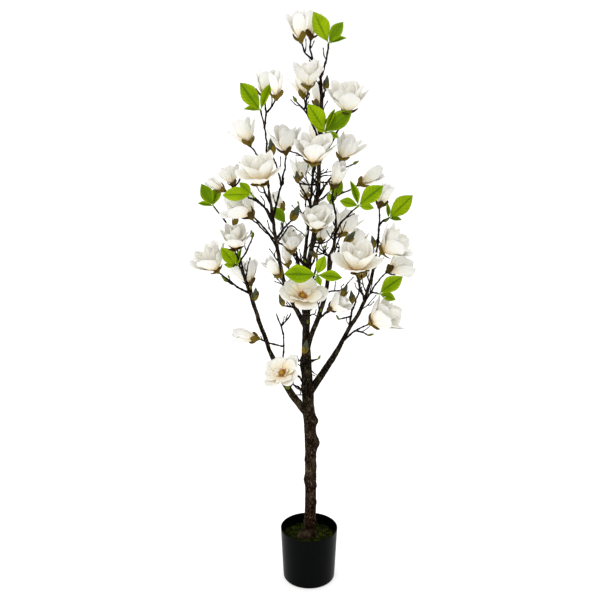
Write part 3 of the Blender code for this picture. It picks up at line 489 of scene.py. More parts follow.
# The plan of the crown in millimetres, as in the source: each carrier, and the sprays on it with name,
# height and what their twigs end in. An item is its kind, its place, its lean to the right as seen from
# the front and towards the front, in degrees from upright, then the width of a wide, open or bowl bloom
# or the length of any other. Leaves have for each blade its two leans, its length and, where it is
# folded, its width as a share of a flat one's. The top spray leaves the leader by two stems.
sprays = [
    ("trunk", [
     ("low_front", 560, [("wide", (-71, -72, 656), -22, 30, 98), ("bud", (-56, -52, 610), -38, 24, 25)]),
     ("low_left", 592, [("bare", (-73, -20, 690), 2, 0), ("bare", (-71, -20, 752), 2, 0),
      ("bare", (-89, -20, 808), -10, 5), ("bare", (-52, -20, 810), 12, 5),
      ("bare", (-85, -20, 723), -60, 0), ("closed", (-141, -30, 746), -76, 5, 70)]),
     ("low_right", 655, [("bud", (-16, -52, 711), 14, 8, 42), ("bud", (24, -42, 692), 24, 10, 14)]),
     ("low_back", 610, [("half", (-8, 160, 765), 4, -28, 80)])]),
    ("bough_left", [
     ("left_outer", 862, [("bowl", (-246, -20, 930), -30, 6, 108), ("bud", (-222, 20, 892), -50, -5, 24)]),
     ("left_back", 790, [("half", (-166, 110, 861), -20, -12, 80)]),
     ("left_bud", 832, [("bud", (-148, -24, 852), 10, 18, 40)]),
     ("left_tip", 915, [("bowl", (-194, -80, 1003), 4, 12, 88),
      ("leaves", (-194, -40, 950), (-34, 15, 66), (20, 20, 56, 0.5), (-82, 15, 32)),
      ("bud", (-152, -10, 1020), -8, 5, 22)]),
     ("left_high", 880, [("bud", (-205, 50, 1040), 20, -10, 36), ("bud", (-214, 20, 1010), 8, 5, 34),
      ("leaves", (-257, 30, 1097), (-28, 5, 66), (-78, 10, 42, 0.6), (10, -30, 55))])]),
    ("bough_mid_left", [
     ("mid_left_low", 885, [("closed", (-76, -130, 945), -40, 10, 60)]),
     ("mid_left_side", 1005, [("half", (-147, -110, 1096), -54, 14, 86)]),
     ("mid_left_bud", 1030, [("bud", (-48, -68, 1076), 28, 10, 48)]),
     ("mid_left_leaves", 1085, [("leaves", (-143, -168, 1156), (-86, 6, 70), (-42, 0, 42)),
      ("closed", (-230, 40, 1138), -58, -5, 52), ("half", (-209, 100, 1143), -16, -15, 58),
      ("bud", (-170, 60, 1200), -62, -5, 22)]),
     ("mid_left_front", 1085, [("half", (-62, -52, 1245), -4, 4, 78),
      ("bud", (-94, -120, 1247), -5, 6, 42)]),
     ("mid_left_bloom", 1128, [("open", (-118, -172, 1182), -12, 14, 110)]),
     ("mid_left_tip", 1165, [
      ("leaves", (-122, -114, 1354), (-38, 12, 82), (24, 12, 74, 0.5), (-84, 30, 44, 0.6)),
      ("closed", (-113, -85, 1385), -3, 0, 64), ("closed", (-83, -140, 1384), 0, 8, 66),
      ("half", (-158, 20, 1260), -24, -18, 72)])]),
    ("leader", [
     ("top", 1428, [("leaves", (45, 0, 1511), (-27, 8, 84), (34, 12, 62), (73, 10, 46, 0.6))]),
     ("top", 1422, [("bare", (5, 4, 1471), -24, 0), ("closed", (1, 32, 1526), 8, -5, 62),
      ("closed", (-24, -30, 1517), -10, 5, 70)]),
     ("high_left", 1262, [("bare", (-16, -30, 1350), -14, 0), ("half", (-6, -60, 1405), -4, 10, 74),
      ("half", (-18, 25, 1381), -4, -20, 62), ("bud", (-36, -15, 1370), -30, 0, 18)]),
     ("high_bud", 1360, [("bud", (38, -12, 1398), 9, 6, 38)]),
     ("high_front_bud", 1300, [("bud", (20, -30, 1340), -8, 8, 34)]),
     ("high_right", 1215, [("bowl", (92, -50, 1344), -3, 16, 112),
      ("leaves", (38, -52, 1297), (-32, 12, 84), (52, 12, 84), (20, 0, 62, 0.4),
       (112, 0, 34), (-58, 20, 34))]),
     ("high_back", 1255, [("closed", (19, 95, 1354), 0, -10, 58)]),
     ("front_high", 1130, [("bowl", (5, -118, 1224), 6, 11, 108), ("bud", (-32, -50, 1170), -4, 10, 32)]),
     ("right_high", 1120, [("half", (81, 30, 1219), 24, 0, 78), ("bud", (114, 30, 1208), 60, 0, 18)]),
     ("left_high_back", 1080, [("half", (-33, 50, 1164), 14, -8, 60)]),
     ("front_middle", 975, [("bowl", (14, -100, 1056), 3, 14, 84)]),
     ("back_middle", 920, [("half", (29, 80, 989), 8, -8, 58)]),
     ("left_middle", 890, [("half", (-49, 20, 973), 0, 2, 70), ("leaves", (-64, 50, 1046), (-38, 0, 58))]),
     ("front_low", 880, [
      ("leaves", (16, -143, 951), (-82, 22, 88, 1.1), (22, 5, 52), (98, 4, 64, 0.8), (160, 40, 30)),
      ("bud", (18, -60, 979), -50, 20, 30)])]),
    ("trunk", [
     ("front_bloom", 735, [("wide", (-21, -131, 886), 8, 28, 108),
      ("bud", (-70, -104, 859), -16, 10, 34)])]),
    ("bough_mid_right", [
     ("mid_right_low", 785, [("half", (50, -80, 843), 58, 10, 64), ("bud", (82, -92, 881), 26, 8, 36)]),
     ("mid_right_back", 890, [("half", (86, 140, 994), 26, -10, 88),
      ("half", (130, 170, 945), 12, -22, 68)]),
     ("mid_right_bud", 960, [("bud", (90, -40, 1010), 40, 15, 46)]),
     ("mid_right_leaves", 1030, [
      ("leaves", (123, -60, 1112), (46, 10, 82), (-16, 5, 68, 0.5), (-74, 0, 50), (92, 20, 40))]),
     ("mid_right_tip", 1080, [("closed", (58, -50, 1158), 20, 8, 70),
      ("leaves", (60, 12, 1118), (22, 0, 56)), ("closed", (135, 100, 1145), 58, -10, 74)])]),
    ("bough_right", [
     ("right_low", 728, [("bowl", (160, -60, 798), 58, 10, 120), ("bud", (160, 0, 745), 75, 0, 18)]),
     ("right_bud", 765, [("bud", (114, -26, 845), -5, 5, 36), ("bud", (78, -30, 800), -30, 5, 16)]),
     ("right_front", 845, [("open", (117, -120, 952), 2, 15, 114)]),
     ("right_outer", 830, [("half", (220, 110, 898), 62, -5, 82),
      ("leaves", (182, -55, 878), (46, 12, 78), (104, 15, 46))]),
     ("right_back", 742, [("half", (150, 215, 852), 10, -36, 78)]),
     ("right_side", 915, [("bowl", (188, -34, 984), 50, 6, 112)]),
     ("right_tip", 990, [("closed", (186, 40, 1094), 20, 0, 64),
      ("leaves", (209, 20, 1066), (46, 10, 88), (-6, 5, 42, 0.5), (92, 20, 36, 0.7)),
      ("bud", (169, -30, 998), -12, 10, 34)])]),
    ("bough_back", [
     ("back_low", 850, [("closed", (-61, 140, 908), -6, -10, 58)]),
     ("back_middle_right", 900, [("half", (30, 225, 1005), 6, -32, 82)]),
     ("back_left", 925, [("half", (-165, 195, 1035), -32, -22, 80),
      ("closed", (-74, 160, 1068), -36, -5, 54)]),
     ("back_high", 1030, [("closed", (-10, 196, 1092), -5, -14, 50),
      ("leaves", (56, 190, 1110), (40, -25, 70), (160, -40, 50), (88, -20, 45))]),
     ("back_tip", 1170, [("half", (22, 180, 1245), 8, -22, 68),
      ("half", (-62, 170, 1232), -14, -22, 62)])]),
]

# Bare twigs that run among the limbs: the carrier and the height where each leaves it, then its bends
# and its end
bareTwigs = [
    ("leader", 1183, [(37, -12, 1191), (50, -20, 1194)]),
    ("leader", 1174, [(37, -16, 1184), (51, -30, 1186)]),
    ("leader", 1166, [(38, -14, 1165), (52, -25, 1169)]),
    ("leader", 1003, [(36, -20, 1008), (52, -26, 1020), (61, -30, 1038)]),
    ("leader", 996, [(22, -14, 994), (34, -18, 984), (50, -14, 974)]),
    ("leader", 985, [(19, -16, 975), (35, -18, 978), (46, -10, 990)]),
    ("bough_mid_right", 968, [(36, -16, 976), (18, -30, 989)]),
    ("bough_mid_right", 866, [(66, -22, 878), (85, -36, 884), (111, -60, 922)]),
    ("bough_mid_right", 1008, [(56, -18, 1022), (45, -30, 1039)]),
    ("bough_mid_left", 1020, [(-52, -70, 1062), (-34, -58, 1050), (-14, -45, 1031)]),
    ("leader", 930, [(-22, -18, 960), (-28, -40, 992)]),
    ("leader", 900, [(-30, -10, 940), (-40, -30, 980)]),
    ("leader", 1060, [(-6, -14, 1078), (-22, -20, 1088), (-30, -28, 1112)]),
    ("leader", 1120, [(4, -12, 1140), (-8, -20, 1168), (-20, -26, 1188)]),
    ("bough_left", 900, [(-168, -20, 930), (-160, -24, 962)]),
    ("bough_right", 850, [(134, -20, 876), (128, -36, 912)]),
    ("trunk", 632, [(-26, -30, 667), (-21, -34, 700)]), ("trunk", 664, [(-6, -22, 668), (17, -30, 685)]),
    ("trunk", 655, [(4, -22, 650), (22, -20, 636)]), ("trunk", 576, [(-30, -26, 598), (-51, -50, 624)]),
    ("trunk", 574, [(-26, -22, 580), (-40, -30, 583)]), ("trunk", 797, [(10, -12, 808), (23, -15, 799)]),
    ("trunk", 700, [(-30, -30, 680), (-33, -36, 694)])
]

twigs = {"stem": 0.0027, "twig": 0.0022, "tipShare": 0.72, "step": 0.048, "kink": 0.0035, "pull": 0.8,
         "turnCost": 0.9, "oldWay": 0.45, "sides": 8, "ringStep": 0.0030, "girth": 1.14,
         "bendEvery": 0.014, "bend": 0.0013, "knobEvery": 0.017, "knobHalf": 0.0026, "knob": 0.34}
shoots = {"name": "shoots", "every": 0.034, "above": 0.80, "chance": 0.8, "lengths": (0.024, 0.062),
          "radius": 0.0018}
spurs = {"name": "spurs", "above": 0.0, "chance": 0.8, "lengths": (0.010, 0.038), "radius": 0.0014,
         "tipRadius": 0.0009, "budSize": 0.0062,
         "budProfile": [(-0.1, 0.18), (0.3, 0.30), (0.7, 0.20), (1.0, 0.03)],
         "greenShare": 0.12, "greenAbove": 0.74, "greenSize": 1.5}
heaps = {name: newHeap() for name in ("twigsOfCrown", "silkPetalsLow", "silkPetalsHigh", "silkLeaves",
                                      "budsAndBracts", "stamens")}


def draws(chance, count, low, high):
    return np.array([chance.uniform(low, high) for _ in range(count)])


def twigRoute(start, startWay, end, endWay, chance):
    # A Hermite curve between two places with a way to leave and a way to arrive, kinked at inner points
    length = float(np.linalg.norm(end - start))
    count = max(2, round(length / twigs["step"]))
    leave, arrive = length * twigs["pull"] * startWay, length * twigs["pull"] * endWay
    t = (np.arange(count + 1) / count)[:, None]
    route = ((2 * t ** 3 - 3 * t ** 2 + 1) * start + (t ** 3 - 2 * t ** 2 + t) * leave
             + (3 * t ** 2 - 2 * t ** 3) * end + (t ** 3 - t ** 2) * arrive)
    route[1:-1] += draws(chance, 3 * (count - 1), -1, 1).reshape(-1, 3) * twigs["kink"]
    return route


def bestFork(routes, foot):
    # The place on the spray's twigs from which a new twig is short and turns off little
    places = np.vstack([route[1:] for route in routes])
    along = unit(np.vstack([np.vstack([route[2:], route[-1:]]) - route[:-1] for route in routes]))
    way, length = unit(foot - places), np.linalg.norm(foot - places, axis=1)
    best = np.argmin(length * (1 + twigs["turnCost"] * (1 - (along * way).sum(1))))
    return places[best], unit(twigs["oldWay"] * along[best] + (1 - twigs["oldWay"]) * way[best])


def addTwig(route, radius, tipRadius, chance):
    # A knobbly tube: the route is bent a little to and fro, the radius tapers, and it swells by a short
    # bell at each knob
    bent = smoothRoute(route, twigs["bendEvery"])
    bent[1:-1] += draws(chance, 3 * (len(bent) - 2), -1, 1).reshape(-1, 3) * twigs["bend"]
    route = smoothRoute(bent, twigs["ringStep"])
    lengths = lengthsAlong(route)
    radii = np.linspace(radius, tipRadius, len(route)) * twigs["girth"]
    count = max(1, int(lengths[-1] / twigs["knobEvery"]))
    knobs = (np.arange(count) + 0.5 + draws(chance, count, -0.3, 0.3)) * lengths[-1] / count
    bells = np.exp(-((lengths[:, None] - knobs) / twigs["knobHalf"]) ** 2).sum(1)
    sides = twigs["sides"]
    rough = 1 + 0.10 * eased(route[:, None] + np.arange(sides)[:, None] * 0.01, 0.004, 9)
    radii = (radii * (1 + twigs["knob"] * bells))[:, None] * rough
    heapRings(heaps["twigsOfCrown"], ringsRound(route, radii, sides))


def addTip(end, way, chance):
    # The tiny bud that a bare twig ends in, green on a few twigs of the crown
    green = chance.random() < spurs["greenShare"] and end[2] > spurs["greenAbove"]
    size = spurs["budSize"] * (spurs["greenSize"] if green else 1.0)
    addTurned(heaps["budsAndBracts"], end, way, spurs["budProfile"], size, size, 7,
              budTones["green" if green else "brown"])


def addBareTwig(route, radius, chance):
    addTwig(route, radius, spurs["tipRadius"], chance)
    addTip(route[-1], unit(route[-1] - route[-2]), chance)


def addShoots(name, route, plan):
    # Bare shoots at the inner points of a route: each leaves to one side, turns up and ends in a tiny
    # bud. Those of a limb have spurs of their own.
    chance = random.Random(f"{name} {plan['name']}")
    for i in range(1, len(route) - 1):
        if route[i][2] > plan["above"] and chance.random() < plan["chance"]:
            along = unit(route[i + 1] - route[i - 1])
            length = chance.uniform(*plan["lengths"])
            aside = unit(np.cross(along, draws(chance, 3, -1, 1)))
            way = unit(0.7 * along + 0.8 * aside + (0, 0, 0.25))
            end = route[i] + length * unit(way + (0, 0, 0.35))
            shoot = twigRoute(route[i], way, end, unit(way + (0, 0, 0.6)), chance)
            addBareTwig(shoot, plan["radius"], chance)
            if plan is shoots:
                addShoots(f"{name} {i}", shoot, spurs)


# Blooms

# Whorls: petals, angle from the axis at the root and at the tip, outward curl of the tip, length and
# half width for a size of 1, and how strongly the sides wrap round the axis.
whorls = {
    "wide": [(4, 80, 60, 6, 0.60, 0.27, 0.5), (4, 72, 42, 8, 0.53, 0.25, 0.6),
             (2, 66, 30, 0, 0.26, 0.12, 0.7)],
    "open": [(4, 70, 38, 36, 0.66, 0.25, 0.75), (4, 50, 10, 26, 0.74, 0.26, 0.9),
             (3, 34, -2, 20, 0.68, 0.24, 1.0), (3, 18, -12, 8, 0.54, 0.18, 1.0)],
    "bowl": [(4, 60, 16, 30, 0.72, 0.27, 0.85), (4, 48, 8, 26, 0.74, 0.26, 0.9),
             (3, 30, -4, 20, 0.72, 0.23, 1.0), (2, 16, -12, 8, 0.54, 0.17, 1.0)],
    "half": [(4, 52, 8, 34, 0.94, 0.29, 0.85), (3, 38, -2, 28, 0.92, 0.28, 1.0),
             (3, 24, -12, 16, 0.82, 0.21, 1.0)],
    "closed": [(3, 36, -12, 34, 0.98, 0.27, 1.0), (3, 26, -12, 26, 0.96, 0.23, 1.0),
               (2, 14, -10, 10, 0.86, 0.16, 1.0)],
}


def petalOutline(share):
    # Half width as a share of the widest: a sine up to 0.57 of the length, then a pointed end
    low = 0.26 + 0.74 * np.sin(np.clip(share / 0.57, 0, 1) * math.pi / 2) ** 1.3
    high = (1 - np.clip((share - 0.57) / 0.43, 0, 1) ** 2.1) ** 0.72
    return np.maximum(low * high, 0.05)


def bractOutline(share):
    # Wide at two fifths of the length, with a short point
    return np.interp(share, [0, 0.15, 0.42, 0.75, 0.9, 1], [0.60, 0.92, 1.0, 0.78, 0.44, 0.05])


petal = {"outline": petalOutline, "rows": 15, "cols": 11, "thickness": 0.0007, "ruffle": 0.045,
         "skew": 0.07, "tilt": 12, "rimRoll": 0.20, "rootRing": 0.0030, "rootRise": 0.004, "split": 1.04,
         # where each tint ends along a petal, and how far that is stretched by kind of bloom
         "bands": [0.07, 0.16, 0.27, 0.40, 0.54, 0.84],
         "cream": {"wide": 1.15, "open": 0.95, "bowl": 0.9, "half": 0.85, "closed": 0.85}}
scale = {"outline": bractOutline, "rows": 8, "cols": 7, "thickness": 0.0009, "ruffle": 0.02, "skew": 0.05,
         "tilt": 6, "rimRoll": 0.0}


def rowShares(rows):
    # Places along a blade, finer towards its tip
    even = np.linspace(0, 1, rows)
    return even + 0.10 * np.sin(math.pi * even)


def bentBlades(root, axis, bearings, angles, curl, lengths, halfWidths, wrap, rootRing, form, chance):
    # Each blade's middle is root + out * far + axis * high, where far and high add up the sine and the
    # cosine of its angle from the axis. Across it lies an arc of radius r: r sin(w / r) sideways and
    # r (1 - cos(w / r)) inwards. The rim rolls outwards by the fourth power of its place across, and
    # sine waves that grow towards rim and tip ruffle it.
    count, share, place = len(bearings), rowShares(form["rows"]), np.linspace(-1, 1, form["cols"])
    rise, narrow = share[:, None], form["outline"](share)[:, None]
    lengths, halfWidths = lengths[:, None, None], halfWidths[:, None, None]
    side, front = acrossAxis(axis)
    out = np.cos(bearings)[:, None] * side + np.sin(bearings)[:, None] * front
    across = np.cross(axis, out)
    bend = np.clip((share - 0.62) / 0.38, 0, 1) ** 2
    angle = np.radians(angles[0][:, None] + (angles[1] - angles[0])[:, None] * share + curl[:, None] * bend)
    middle = (angle[:, 1:] + angle[:, :-1]) / 2
    steps = lengths[..., 0] * np.diff(share)
    far, high = (np.insert(np.cumsum(way * steps, 1), 0, 0, 1)[..., None]
                 for way in (np.sin(middle), np.cos(middle)))
    far = far + rootRing
    width = halfWidths * narrow
    radius = np.maximum(np.abs(far) / wrap, width / 1.4)
    turn = width / radius * place
    skew = draws(chance, count, -form["skew"], form["skew"])[:, None, None] * lengths
    sideways = radius * np.sin(turn) + skew * rise ** 2
    phase = draws(chance, 2 * count, 0, 2 * math.pi).reshape(count, 1, 2)
    phase = np.where(place < 0, phase[..., :1], phase[..., 1:])
    waves = np.sin(2 * math.pi * 2.1 * rise + phase) * place ** 2 * rise ** 1.5
    crimp = np.sin(2 * math.pi * 1.1 * place + phase[..., :1]) * rise ** 4 * 0.6
    folds = np.sin(2 * math.pi * 1.6 * place + phase[..., :1]) * rise * (1 - rise) * 1.5
    ruffle = form["ruffle"] * draws(chance, count, 0.5, 1.2)[:, None, None] * lengths
    inward = radius * (1 - np.cos(turn)) - form["rimRoll"] * width * place ** 4 * rise ** 2 \
        + ruffle * ((waves + crimp) * narrow + folds)
    facing = axis * np.sin(angle)[..., None] - out[:, None] * np.cos(angle)[..., None]
    lean = draws(chance, count, -form["tilt"], form["tilt"])[:, None] * np.sqrt(share)
    lean = np.radians(lean)[..., None]
    over = across[:, None] * np.cos(lean) + facing * np.sin(lean)
    inner = facing * np.cos(lean) - across[:, None] * np.sin(lean)
    centre = root + out[:, None] * far + axis * high
    grids = centre[:, :, None] + over[:, :, None] * sideways[..., None] \
        + inner[:, :, None] * inward[..., None]
    return grids, np.stack(np.broadcast_arrays(place * halfWidths, lengths * rise), -1)


def addBloom(kind, foot, axis, size, chance):
    root = foot + axis * petal["rootRise"]
    start = chance.uniform(-14, 14) if kind in ("open", "bowl") else chance.uniform(0, 120)
    loose = 1.1 if kind == "wide" else 1.0
    form = {**petal, "ruffle": petal["ruffle"] * loose}
    share = rowShares(petal["rows"])
    middle = ((share[1:] + share[:-1]) / 2)[:, None]
    for number, (count, low, high, curl, length, halfWidth, wrap) in enumerate(whorls[kind]):
        shift, swing = np.array([(chance.uniform(-7, 7), chance.uniform(-5, 5)) for _ in range(count)]).T
        bearings = np.radians(start + number * 60 + 360 * np.arange(count) / count + shift)
        longer = draws(chance, count, 1 - 0.07 * loose, 1 + 0.05 * loose)
        grids, marks = bentBlades(
            root, axis, bearings, (low + swing, high + draws(chance, count, -6, 6)),
            curl * draws(chance, count, 0.5, 1.25), size * length * longer,
            size * halfWidth * draws(chance, count, 0.94, 1.06), wrap,
            petal["rootRing"] * (1 - 0.2 * number), form, chance)
        # The tints from the root outwards, in bands that reach a little further on inner petals
        bands = np.array(petal["bands"]) * petal["cream"][kind] * (1 + 0.15 * number)
        addShells(heaps["silkPetalsHigh" if foot[2] > petal["split"] else "silkPetalsLow"], grids,
                  petal["thickness"], np.digitize(middle, bands), marks)
    addCalyx(foot, axis, kind, size, chance)
    if kind in stamens["angles"]:
        addStamens(root, axis, kind, chance)


# Calyx, stamens and buds

budTones = {key: number for number, key in enumerate(felt["tints"])}
calyx = {"profile": [(-7, 2.8), (-2, 6.4), (4, 8.2), (10, 5.0)],  # height and radius in millimetres
         "lengths": (0.021, 0.030), "halfWidth": 0.37, "rootRing": 0.0030, "curl": 6,
         # angle of the bracts at the root and at the tip, and length, by kind of bloom
         "bracts": {"wide": (98, 88, 0.20), "open": (88, 50, 0.27), "bowl": (84, 34, 0.29),
                    "half": (76, 8, 0.37), "closed": (72, -4, 0.46)}}
stamens = {"count": 44, "length": 0.0125, "radius": 0.0009, "coneRadius": 0.0062, "coneHeight": 0.0125,
           "filament": [(0, 0.7), (0.7, 0.7), (0.85, 1.3), (1, 0.5)],
           "cone": [(0, 0.9), (0.35, 1.0), (0.75, 0.7), (1, 0.15)],
           # degrees from the axis, innermost and outermost, by kind of bloom
           "angles": {"wide": (30, 76), "open": (14, 34), "bowl": (10, 26)}, "goldenAngle": 2.39996}
budForm = {"radius": 0.185, "leastRadius": 0.0024, "small": 0.026, "bend": 0.06,
           "profile": [(-0.06, 0.30), (0.04, 0.62), (0.16, 0.86), (0.30, 0.98), (0.44, 1.0), (0.58, 0.90),
                       (0.72, 0.70), (0.84, 0.46), (0.93, 0.25), (1.0, 0.06)]}


def addBracts(root, axis, count, angles, length, halfWidth, tones, rootRing, curl, chance):
    bearings = np.radians(chance.uniform(0, 120) + 360 * np.arange(count) / count
                          + draws(chance, count, -12, 12))
    angles = (angles[0] + draws(chance, count, -6, 6), angles[1] + draws(chance, count, -8, 8))
    grids, marks = bentBlades(root, axis, bearings, angles, draws(chance, count, 0, 1) * curl,
                              length * draws(chance, count, 0.85, 1.1),
                              halfWidth * draws(chance, count, 0.9, 1.1), 1.0, rootRing, scale, chance)
    addShells(heaps["budsAndBracts"], grids, scale["thickness"], tones, marks)


def addCalyx(foot, axis, kind, size, chance):
    # A swollen end of the twig with three bracts that hug the outer petals
    tone = budTones[chance.choice(["olive", "olive", "olive", "brown"])]
    addTurned(heaps["budsAndBracts"], foot, axis, calyx["profile"], 0.001, 0.001, 10, tone)
    low, high, share = calyx["bracts"][kind]
    length = min(max(size * share, calyx["lengths"][0]), calyx["lengths"][1])
    tones = np.full((1, scale["rows"] - 1, scale["cols"] - 1), tone)
    tones[:, -1] = tones[:, 0] = budTones["brown"]
    addBracts(foot - axis * 0.002, axis, 3, (low, high), length, length * calyx["halfWidth"], tones,
              calyx["rootRing"], calyx["curl"], chance)


def addStamens(root, axis, kind, chance):
    # A knobbly cone of carpels in a ring of short filaments
    radius, (low, high) = stamens["coneRadius"], stamens["angles"][kind]
    addTurned(heaps["stamens"], root, axis, stamens["cone"], stamens["coneHeight"], radius, 10)
    side, front = acrossAxis(axis)
    for i in range(stamens["count"]):
        bearing = i * stamens["goldenAngle"]
        out = side * math.cos(bearing) + front * math.sin(bearing)
        angle = math.radians(low + (high - low) * i / stamens["count"] + chance.uniform(-6, 6))
        way = out * math.sin(angle) + axis * math.cos(angle)
        addTurned(heaps["stamens"], root + out * radius * 0.6, way, stamens["filament"],
                  stamens["length"] * chance.uniform(0.8, 1.15), stamens["radius"], 6, 1)


def addBud(foot, axis, size, chance):
    # An egg drawn to a bent point, its lower half in two or three pointed scales
    radius = max(size * budForm["radius"], budForm["leastRadius"])
    count, low, high = (2, "green", "green") if size < budForm["small"] else (3, "olive", "grey")
    addTurned(heaps["budsAndBracts"], foot, axis, budForm["profile"], size, radius, 12,
              [budTones[low]] * 2 + [budTones[high]] * 7, size * budForm["bend"])
    rows = np.array([budTones["brown"], *[budTones[low]] * 5, budTones["brown"]])
    addBracts(foot - axis * 0.001, axis, count, (42, -20), size * 0.70, radius * 1.10,
              rows[None, :, None], radius * 0.42, 0, chance)


# Leaves

blade = {"rows": 26, "sides": (0.04, 0.18, 0.34, 0.52, 0.70, 0.87, 1.0), "halfWidth": 0.2808,
         "thickness": 0.0008, "start": 0.06, "veins": 8, "slant": 1.9, "puff": 0.00198, "wave": 0.018,
         "stalk": 0.014, "stalkRadius": 0.0011, "flat": 0.95, "backFrom": 0.15}


def leafOutline(share):
    # Narrow at the stalk, widest past the middle, drawn out to a short point
    low = np.sin(np.clip(share / 0.56, 0, 1) * math.pi / 2) ** 1.05
    high = (1 - np.clip((share - 0.56) / 0.44, 0, 1) ** 1.7) ** 0.95
    return np.maximum(low * high, 0.03)


def addLeaf(root, along, facing, length, share, chance):
    # Two parameters, along and across: the half blades rise by the fold's angle, the surface puffs up
    # between slanting side veins, the rim waves and the tip droops
    across = unit(np.cross(along, facing))
    facing = np.cross(across, along)
    u = np.linspace(0, 1, blade["rows"])[:, None]
    v = np.array([-s for s in reversed(blade["sides"])] + list(blade["sides"]))
    width = length * blade["halfWidth"] * leafOutline(u)
    fold = math.acos(min(share, 0.97))
    slant = u * blade["veins"] - np.abs(v) * blade["slant"]
    puff = blade["puff"] * np.cos(2 * math.pi * slant) * np.abs(v) * (1 - v ** 2)
    wave = np.sin(2 * math.pi * 1.6 * u + chance.uniform(0, 6) + (v > 0) * 2.0) * v ** 2
    droop = length * chance.uniform(-0.14, 0.02) * u ** 2
    skew = length * chance.uniform(-0.05, 0.05) * u ** 2
    lift = np.abs(v) * width * math.sin(fold) + puff + length * blade["wave"] * wave + droop
    reach = length * (blade["start"] + (1 - blade["start"]) * u)
    grid = root + along * reach[..., None] + across * (v * width * math.cos(fold) + skew)[..., None] \
        + facing * lift[..., None]
    tone = chance.choice([0, 0, 1, 1, 2])
    tones = np.full((1, blade["rows"] - 1, len(v) - 1), tone)
    middle = len(blade["sides"]) - 1
    # Painted shade and light across the blade: the columns beside the rib are one tint darker, as the shade
    # in the fold, and the two outer columns on each side are one tint lighter, as light on the rims. The
    # rib has its own darker tint.
    tones[:, :, middle - 1:middle + 2] = min(tone + 1, 2)
    tones[:, :, :2] = tones[:, :, -2:] = max(tone - 1, 0)
    tones[:, :, middle] = 3
    # The marks run with the side veins, one gap of the material's bands to each
    marks = np.stack([v * width, slant * veinGap / 1000], -1)
    addShells(heaps["silkLeaves"], grid[None], blade["thickness"], tones, marks)


def addLeaves(foot, blades, route, chance):
    facing = unit((0, 1, 0.6) if foot[1] >= blade["backFrom"] else (0, -1, 0.55))
    stalkRoot = route[-1] - unit(route[-1] - route[-2]) * blade["stalk"]
    for turn, lean, length, *share in blades:
        along, length = heading(turn, lean), length / 1000
        addLeaf(foot, along, facing, length, share[0] if share else blade["flat"], chance)
        stalk = smoothRoute([stalkRoot, foot - along * 0.002, foot + along * length * 0.10], 0.002)
        radii = np.linspace(1.25, 0.8, len(stalk)) * blade["stalkRadius"]
        heapRings(heaps["silkLeaves"], ringsRound(stalk, radii, 7), 4)


# Growing the crown

def growSpray(name, carrier, height, items):
    # One stem from the carrier to the first item, a twig from the best fork to each further one, and
    # what each carries
    root, rootWay = limbPlace(carrier, height / 1000)
    routes = []
    for number, (kind, place, *rest) in enumerate(items):
        seed = f"{name} {number}"
        chance = random.Random(seed)
        foot = np.array(place) / 1000
        axis = heading(*(rest[0] if kind == "leaves" else rest)[:2])
        if number == 0:
            start, way, radius = root, unit(0.5 * rootWay + unit(foot - root)), twigs["stem"]
        else:
            (start, way), radius = bestFork(routes, foot), twigs["twig"]
        route = twigRoute(start, way, foot, unit(axis + 0.6 * unit(foot - start)), chance)
        routes.append(route if kind == "bare" else route[:-1])
        if kind == "bare":
            addTip(foot, axis, chance)
        addTwig(route, radius, twigs["twig"] * twigs["tipShare"], random.Random(seed + " twig"))
        addShoots(seed, route, spurs)
        if kind == "leaves":
            addLeaves(foot, rest, route, chance)
        elif kind == "bud":
            addBud(foot, axis, rest[2] / 1000, chance)
        elif kind != "bare":
            addBloom(kind, foot, axis, rest[2] / 1000, chance)


def tinted(name, finish):
    return [newMaterial(name + key, colour, finish) for key, colour in finish["tints"].items()]


def makeCrown():
    for name in boughs:
        addShoots(name, limbRoute(name, shoots["every"]), shoots)
    for number, (carrier, height, places) in enumerate(bareTwigs):
        chance = random.Random(f"bare {number}")
        route = np.vstack([limbPlace(carrier, height / 1000)[0], np.array(places) / 1000])
        addBareTwig(route, twigs["twig"], chance)
        addShoots(f"bare {number}", route, spurs)
    nodes = []
    for carrier, group in sprays:
        for name, height, items in group:
            growSpray("spray_" + name, carrier, height, items)
            nodes.append("spray_" + name)
    petals = [newMaterial(f"pressed silk, tint {number}", tint, silk)
              for number, tint in enumerate(silk["tints"])]
    materials = {
        "twigsOfCrown": [newMaterial("waxed twig paper", "#0A0605", paper)],
        "silkPetalsLow": petals, "silkPetalsHigh": petals, "silkLeaves": tinted("leaf cloth, ", leaf),
        "budsAndBracts": tinted("bract felt, ", felt),
        "stamens": [newMaterial("carpel foam", "#C4A232", felt),
                    newMaterial("filament fibre", "#D88A34", felt)]}
    for name, heap in heaps.items():
        makePiece(name, heap, materials[name],
                  list(dict.fromkeys(nodes)))


# Pot, fill and moss

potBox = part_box("pot")[1]
pot = {"rim": potBox.x, "foot": potBox.x * 0.909, "height": potBox.z, "wall": 0.0022, "floor": 0.004,
       "edge": 0.006, "lip": 0.0011, "sides": 160, "middle": 0.02}


def roundedEdge(far, high, size, turns):
    # An arc of the profile about a centre, by degrees
    return [(far + size * math.cos(t), high + size * math.sin(t)) for t in np.radians(turns)]


